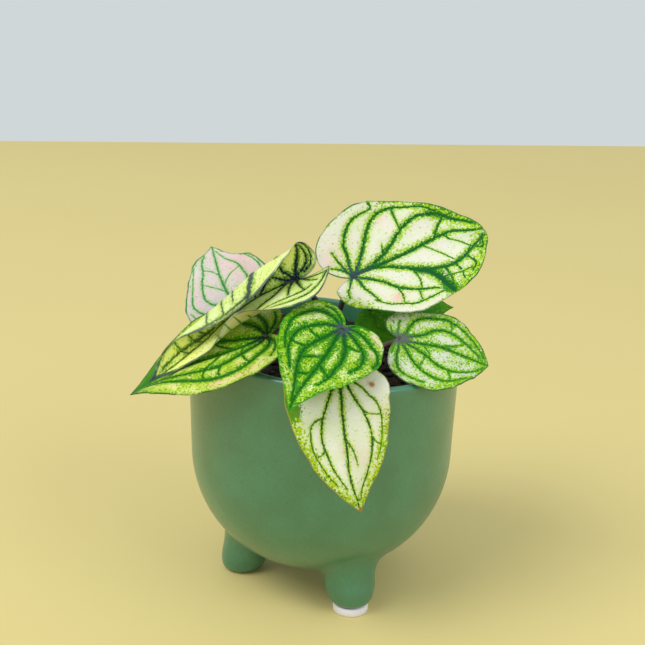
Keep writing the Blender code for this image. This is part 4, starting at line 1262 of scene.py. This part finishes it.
def relax_belly(bm, loop_verts):
    """Even out the belly's mesh round an opening and keep it on the belly."""
    held = set(loop_verts)
    free = set()
    front = set(loop_verts)
    for _ in range(RELAX_RINGS):
        front = {edge.other_vert(vert) for vert in front for edge in vert.link_edges} - held - free
        free |= front
    free = list(free)
    for _ in range(RELAX_ROUNDS):
        bmesh.ops.smooth_vert(bm, verts=free, factor=0.5, use_axis_x=True, use_axis_y=True,
                              use_axis_z=False)
        for vert in free:
            vert.co.z = belly_under(vert.co)


def foot_rows(starts, sole, axis, neck, off_axis):
    """Rows of places from the opening's edge through the fillet and down the foot to its sole."""
    outs = [off_axis(place).normalized() for place in starts]
    slopes = []
    for place, out in zip(starts, outs):
        nearer = place - out
        nearer.z = belly_under(nearer)
        slopes.append((nearer - place).normalized())
    rows = []
    for part in FILLET_PARTS:
        row = []
        for place, out, slope in zip(starts, outs, slopes):
            foot_in = sole + axis * NECK_HEIGHT + out * neck
            rise = axis.normalized() * FILLET_FOOT
            control = (place, place + slope * FILLET_TOP, foot_in + rise, foot_in)
            row.append(Vector(bezier([tuple(point) for point in control], part)))
        rows.append(row)
    for radius, height in FOOT_COLUMN:
        rows.append([sole + axis * height + out * radius for out in outs])
    return rows


def draw_down(bm, edges, ring, rows):
    """Draw a loop of edges on from row to row and close the last one."""
    for row in rows:
        grown = bmesh.ops.extrude_edge_only(bm, edges=edges)["geom"]
        edges = [item for item in grown if isinstance(item, bmesh.types.BMEdge) and item.is_boundary]
        made = {item for item in grown if isinstance(item, bmesh.types.BMVert)}
        ring = [next(edge.other_vert(vert) for edge in vert.link_edges
                     if edge.other_vert(vert) in made) for vert in ring]
        for vert, place in zip(ring, row):
            vert.co = place
    cap = bmesh.ops.contextual_create(bm, geom=edges)["faces"]
    bmesh.ops.poke(bm, faces=cap)


def make_pot(settings):
    bm = turned(pot_chain(), settings.sides)
    bmesh.ops.recalc_face_normals(bm, faces=bm.faces)
    for turn, bottom, neck in zip(FOOT_TURNS, FOOT_BOTTOMS, FOOT_NECKS):
        grow_foot(bm, turn, bottom, neck)
    lean_rim(bm)
    bmesh.ops.recalc_face_normals(bm, faces=bm.faces)
    return bm


def pot_finish(settings):
    """Satin sage green glaze with fine grain and small dark specks."""
    finish = Finish("sage_ceramic", Specular_IOR_Level=0.8, Coat_Weight=0.4, Coat_Roughness=0.22)
    where = finish.place()
    cloud = finish.noise(where, 60.0, 3.0, 0.5)
    sand = finish.noise(where, 900.0, 3.0, 0.7)
    specks = finish.cells(where, 260.0)
    rare = finish.noise(where, 160.0, 0.0)
    spots = specks.ramp(0.13, 0.07) * rare.ramp(0.62, 0.68)
    colour = finish.mix(cloud.ramp(0.3, 0.8) * 0.5, tuple(settings.glaze), tuple(settings.glaze_dark))
    colour = finish.mix(sand.ramp(0.35, 0.75) * 0.45, colour, tuple(settings.glaze_dark))
    colour = finish.mix(spots * 0.8, colour, tuple(settings.speckle))
    rough = 0.28 + sand * 0.14
    bump = finish.bump(sand * 0.6 + finish.noise(where, 300.0, 2.0) * 0.5, 0.25, 0.0004)
    return finish.wear(Base_Color=colour, Roughness=rough, Normal=bump)


def make_pad():
    """A low round pad with rounded edges, centred under the front foot."""
    lower = [(0.0, 0.0), (PAD_RADIUS - 2.0, 0.0), (PAD_RADIUS - PAD_EDGE, 0.0),
             (PAD_RADIUS - 0.25 * PAD_EDGE, 0.25 * PAD_EDGE), (PAD_RADIUS, PAD_EDGE)]
    upper = [(radius, PAD_HEIGHT - height) for radius, height in reversed(lower)]
    bm = turned(lower + [(PAD_RADIUS, 0.5 * PAD_HEIGHT)] + upper, PAD_SIDES)
    angle = math.radians(FOOT_TURNS[0])
    shift = (FOOT_CIRCLE * math.sin(angle), -FOOT_CIRCLE * math.cos(angle), 0.0)
    bmesh.ops.translate(bm, verts=bm.verts, vec=shift)
    bmesh.ops.recalc_face_normals(bm, faces=bm.faces)
    return bm


def pad_finish(settings):
    finish = Finish("pad_felt", Specular_IOR_Level=0.25)
    where = finish.place()
    fibre = finish.noise(where, 1400.0, 3.0, 0.7)
    grey = shaded(settings.pad, 0.82)
    colour = finish.mix(fibre.ramp(0.35, 0.7) * 0.5, tuple(settings.pad), grey)
    return finish.wear(Base_Color=colour, Roughness=0.75 + fibre * 0.2,
                       Normal=finish.bump(fibre, 0.4, 0.0003))


# Soil

def make_soil(settings):
    """Crumbly soil top on a short closed plug, with loose lumps bedded in it."""
    edge = wall_radius(SOIL_TOP, WALL) - SOIL_GAP
    chain = [(edge * ring / SOIL_RINGS, SOIL_TOP) for ring in range(SOIL_RINGS + 1)]
    chain += [(edge - 0.1, SOIL_TOP - 5.0), (edge - 0.3, SOIL_TOP - 12.0),
              (edge * 0.6, SOIL_TOP - SOIL_DEPTH), (0.0, SOIL_TOP - SOIL_DEPTH)]
    bm = turned(chain, SOIL_SIDES)
    for vert in bm.verts:
        if vert.co.z < SOIL_TOP - 1.0:
            continue
        rise = float(soil_level(vert.co.x, vert.co.y)) - SOIL_TOP
        rough = noise.fractal(vert.co * 0.35, 0.9, 2.0, 4, noise_basis="PERLIN_ORIGINAL")
        crumbs = noise.noise(vert.co * 0.9 + Vector((7.0, 3.0, 1.0)))
        vert.co.z += rise + 0.9 * rough + 0.7 * max(crumbs, 0.0) - 0.6
    scatter_grains(bm, settings.grains, edge)
    bmesh.ops.recalc_face_normals(bm, faces=bm.faces)
    return bm


def scatter_grains(bm, count, edge):
    """Bed small lumps of bark and soil in the top, the same ones each time."""
    draw = np.random.default_rng(GRAIN_SEED)
    for _ in range(count):
        radius = (edge - 2.0) * math.sqrt(draw.random())
        turn = math.tau * draw.random()
        x, y = radius * math.cos(turn), radius * math.sin(turn)
        size = 0.5 + 1.3 * draw.random() ** 2
        stretch = 1.0 + 1.4 * draw.random()
        spin = Matrix.Rotation(math.tau * draw.random(), 4, "Z") @ Matrix.Rotation(
            draw.normal(0.0, 0.5), 4, "X")
        place = Matrix.Translation((x, y, float(soil_level(x, y)) - 0.2 + 0.35 * size))
        grow = Matrix.Diagonal((size * stretch, size, size * 0.7, 1.0))
        made = bmesh.ops.create_icosphere(bm, subdivisions=1, radius=1.0, matrix=place @ spin @ grow)
        for vert in made["verts"]:
            vert.co += Vector(draw.normal(0.0, 0.12 * size, 3))


def soil_finish(settings):
    finish = Finish("crumbly_soil", Specular_IOR_Level=0.3)
    where = finish.place()
    clump = finish.noise(where, 260.0, 4.0, 0.65)
    bits = finish.cells(where, 420.0)
    colour = finish.mix(clump.ramp(0.55, 0.72) * 0.8, tuple(settings.dark), tuple(settings.light))
    colour = finish.mix(bits.ramp(0.25, 0.1) * 0.35, colour, tuple(settings.light))
    return finish.wear(Base_Color=colour, Roughness=0.8 + clump * 0.15,
                       Normal=finish.bump(clump + bits * 0.5, 0.8, 0.0008))


def stem_finish(settings):
    """Dark at the top and pinkish brown at the foot, with fine mottling."""
    finish = Finish("stem_skin", Specular_IOR_Level=0.4)
    where = finish.place()
    _, _, height = finish.parts(where)
    mottle = finish.noise(where, 380.0, 3.0, 0.6)
    share = (height + (mottle - 0.5) * 0.012).ramp(0.118, 0.148)
    colour = finish.mix(share, tuple(settings.stem_foot), tuple(settings.stem_top))
    colour = finish.mix(mottle.ramp(0.5, 0.62) * 0.5, colour, shaded(settings.stem_top, 0.6))
    return finish.wear(Base_Color=colour, Roughness=0.42 + mottle * 0.1,
                       Normal=finish.bump(mottle, 0.3, 0.0002))


# Stage

def add_light(name, power):
    place, size, colour = LIGHTS[name]
    data = bpy.data.lights.new(name, "AREA")
    data.shape = "DISK"
    data.size = size
    data.energy = power
    data.color = colour
    light = bpy.data.objects.new(name, data)
    light.location = place
    light.rotation_mode = "QUATERNION"
    light.rotation_quaternion = (Vector(LIGHT_TARGET) - Vector(place)).to_track_quat("-Z", "Y")
    bpy.context.scene.collection.objects.link(light)


def add_camera():
    down = math.radians(CAMERA_DOWN)
    roll = math.radians(CAMERA_ROLL)
    ahead = Vector((0.0, math.cos(down), -math.sin(down)))
    up = Vector((0.0, math.sin(down), math.cos(down)))
    right = Vector((1.0, 0.0, 0.0))
    right, up = (math.cos(roll) * right + math.sin(roll) * up,
                 math.cos(roll) * up - math.sin(roll) * right)
    data = bpy.data.cameras.new("camera")
    data.lens = CAMERA_LENS
    data.sensor_width = 36.0
    data.clip_start = 0.01
    camera = bpy.data.objects.new("camera", data)
    turn = Matrix((right, up, -ahead)).transposed().to_4x4()
    camera.matrix_world = Matrix.Translation(Vector(CAMERA_PLACE) * MM) @ turn
    bpy.context.scene.collection.objects.link(camera)
    bpy.context.scene.camera = camera


def add_floor(settings):
    bm = bmesh.new()
    bmesh.ops.create_grid(bm, x_segments=8, y_segments=8, size=FLOOR_REACH)
    bmesh.ops.scale(bm, verts=bm.verts, vec=(2.0, 1.0, 1.0))
    bmesh.ops.rotate(bm, verts=bm.verts, cent=(0.0, 0.0, 0.0),
                     matrix=Matrix.Rotation(math.radians(FLOOR_TURN), 3, "Z"))
    mesh = bpy.data.meshes.new("floor")
    bm.to_mesh(mesh)
    bm.free()
    floor = bpy.data.objects.new("floor", mesh)
    finish = Finish("floor_paint", Specular_IOR_Level=0.2, Roughness=0.7)
    where = finish.place()
    cloud = finish.noise(where, 3.0, 2.0)
    colour = finish.mix(cloud, tuple(settings.floor), shaded(settings.floor, 1.05))
    floor.data.materials.append(finish.wear(Base_Color=colour))
    bpy.context.scene.collection.objects.link(floor)


def set_air(settings):
    scene = bpy.context.scene
    scene.world = bpy.data.worlds.new("air")
    scene.world.use_nodes = True
    air = scene.world.node_tree.nodes["Background"]
    air.inputs["Color"].default_value = tuple(settings.air)
    air.inputs["Strength"].default_value = settings.air_strength
    scene.view_settings.view_transform = "Standard"


class CALADIUM_OT_stage(bpy.types.Operator):
    """Set up the floor, the soft lights and the camera"""
    bl_idname = "caladium.stage"
    bl_label = "Stage"

    def execute(self, context):
        settings = context.scene.caladium_stage
        set_air(settings)
        add_floor(settings)
        add_light("key", settings.key)
        add_light("fill", settings.fill)
        add_camera()
        return {"FINISHED"}


class CALADIUM_OT_pot(bpy.types.Operator):
    """Make the ceramic pot with its three feet"""
    bl_idname = "caladium.pot"
    bl_label = "Pot"

    def execute(self, context):
        settings = context.scene.caladium_pot
        pot = dress("pot_body", make_pot(settings), pot_finish(settings), "pot_ceramic", "pot")
        smoother = pot.modifiers.new("smooth", "SUBSURF")
        smoother.levels = smoother.render_levels = 1
        return {"FINISHED"}


class CALADIUM_OT_pad(bpy.types.Operator):
    """Make the white pad under the short front foot"""
    bl_idname = "caladium.pad"
    bl_label = "Foot pad"

    def execute(self, context):
        settings = context.scene.caladium_pot
        dress("front_pad", make_pad(), pad_finish(settings), "foot_pad", "foot_pad")
        return {"FINISHED"}


class CALADIUM_OT_soil(bpy.types.Operator):
    """Make the soil that fills the pot"""
    bl_idname = "caladium.soil"
    bl_label = "Soil"

    def execute(self, context):
        settings = context.scene.caladium_soil
        dress("soil_top", make_soil(settings), soil_finish(settings), "potting_soil", "soil")
        return {"FINISHED"}


class CALADIUM_OT_blades(bpy.types.Operator):
    """Make the blade of every leaf"""
    bl_idname = "caladium.blades"
    bl_label = "Leaf blades"

    def execute(self, context):
        settings = context.scene.caladium_leaf
        disc = blade_disc(settings.rays, settings.rings)
        for name, spec in LEAVES.items():
            bm = make_blade(name, spec, settings, disc)
            dress(f"{name}_blade", bm, leaf_finish(name, settings), LEAF_FINISH[name]["slot"], name)
        return {"FINISHED"}


class CALADIUM_OT_stems(bpy.types.Operator):
    """Make the stem of every leaf"""
    bl_idname = "caladium.stems"
    bl_label = "Stems"

    def execute(self, context):
        settings = context.scene.caladium_leaf
        finish = stem_finish(settings)
        for name, spec in LEAVES.items():
            dress(f"{name}_stem", make_stem(spec), finish, LEAF_FINISH[name]["slot"], name)
        return {"FINISHED"}


OPERATORS = (CALADIUM_OT_stage, CALADIUM_OT_pot, CALADIUM_OT_pad, CALADIUM_OT_soil,
             CALADIUM_OT_blades, CALADIUM_OT_stems)
GROUPS = {"caladium_pot": PotSettings, "caladium_leaf": LeafSettings,
          "caladium_soil": SoilSettings, "caladium_stage": StageSettings}


class CALADIUM_PT_panel(bpy.types.Panel):
    """Lists the steps that make the plant, and the values they use"""
    bl_label = "Potted caladium"
    bl_idname = "CALADIUM_PT_panel"
    bl_space_type = "VIEW_3D"
    bl_region_type = "UI"
    bl_category = "Caladium"

    def draw(self, context):
        for operator in OPERATORS:
            self.layout.operator(operator.bl_idname)
        for group_name, group in GROUPS.items():
            box = self.layout.box()
            for value_name in group.__annotations__:
                box.prop(getattr(context.scene, group_name), value_name)


def register():
    for group_name, group in GROUPS.items():
        bpy.utils.register_class(group)
        setattr(bpy.types.Scene, group_name, PointerProperty(type=group))
    for shown in OPERATORS + (CALADIUM_PT_panel,):
        bpy.utils.register_class(shown)


def unregister():
    for shown in reversed(OPERATORS + (CALADIUM_PT_panel,)):
        bpy.utils.unregister_class(shown)
    for group_name, group in GROUPS.items():
        delattr(bpy.types.Scene, group_name)
        bpy.utils.unregister_class(group)


def main():
    register()
    bpy.ops.caladium.stage()
    bpy.ops.caladium.pot()
    bpy.ops.caladium.pad()
    bpy.ops.caladium.soil()
    bpy.ops.caladium.blades()
    bpy.ops.caladium.stems()


if __name__ == "__main__":
    main()
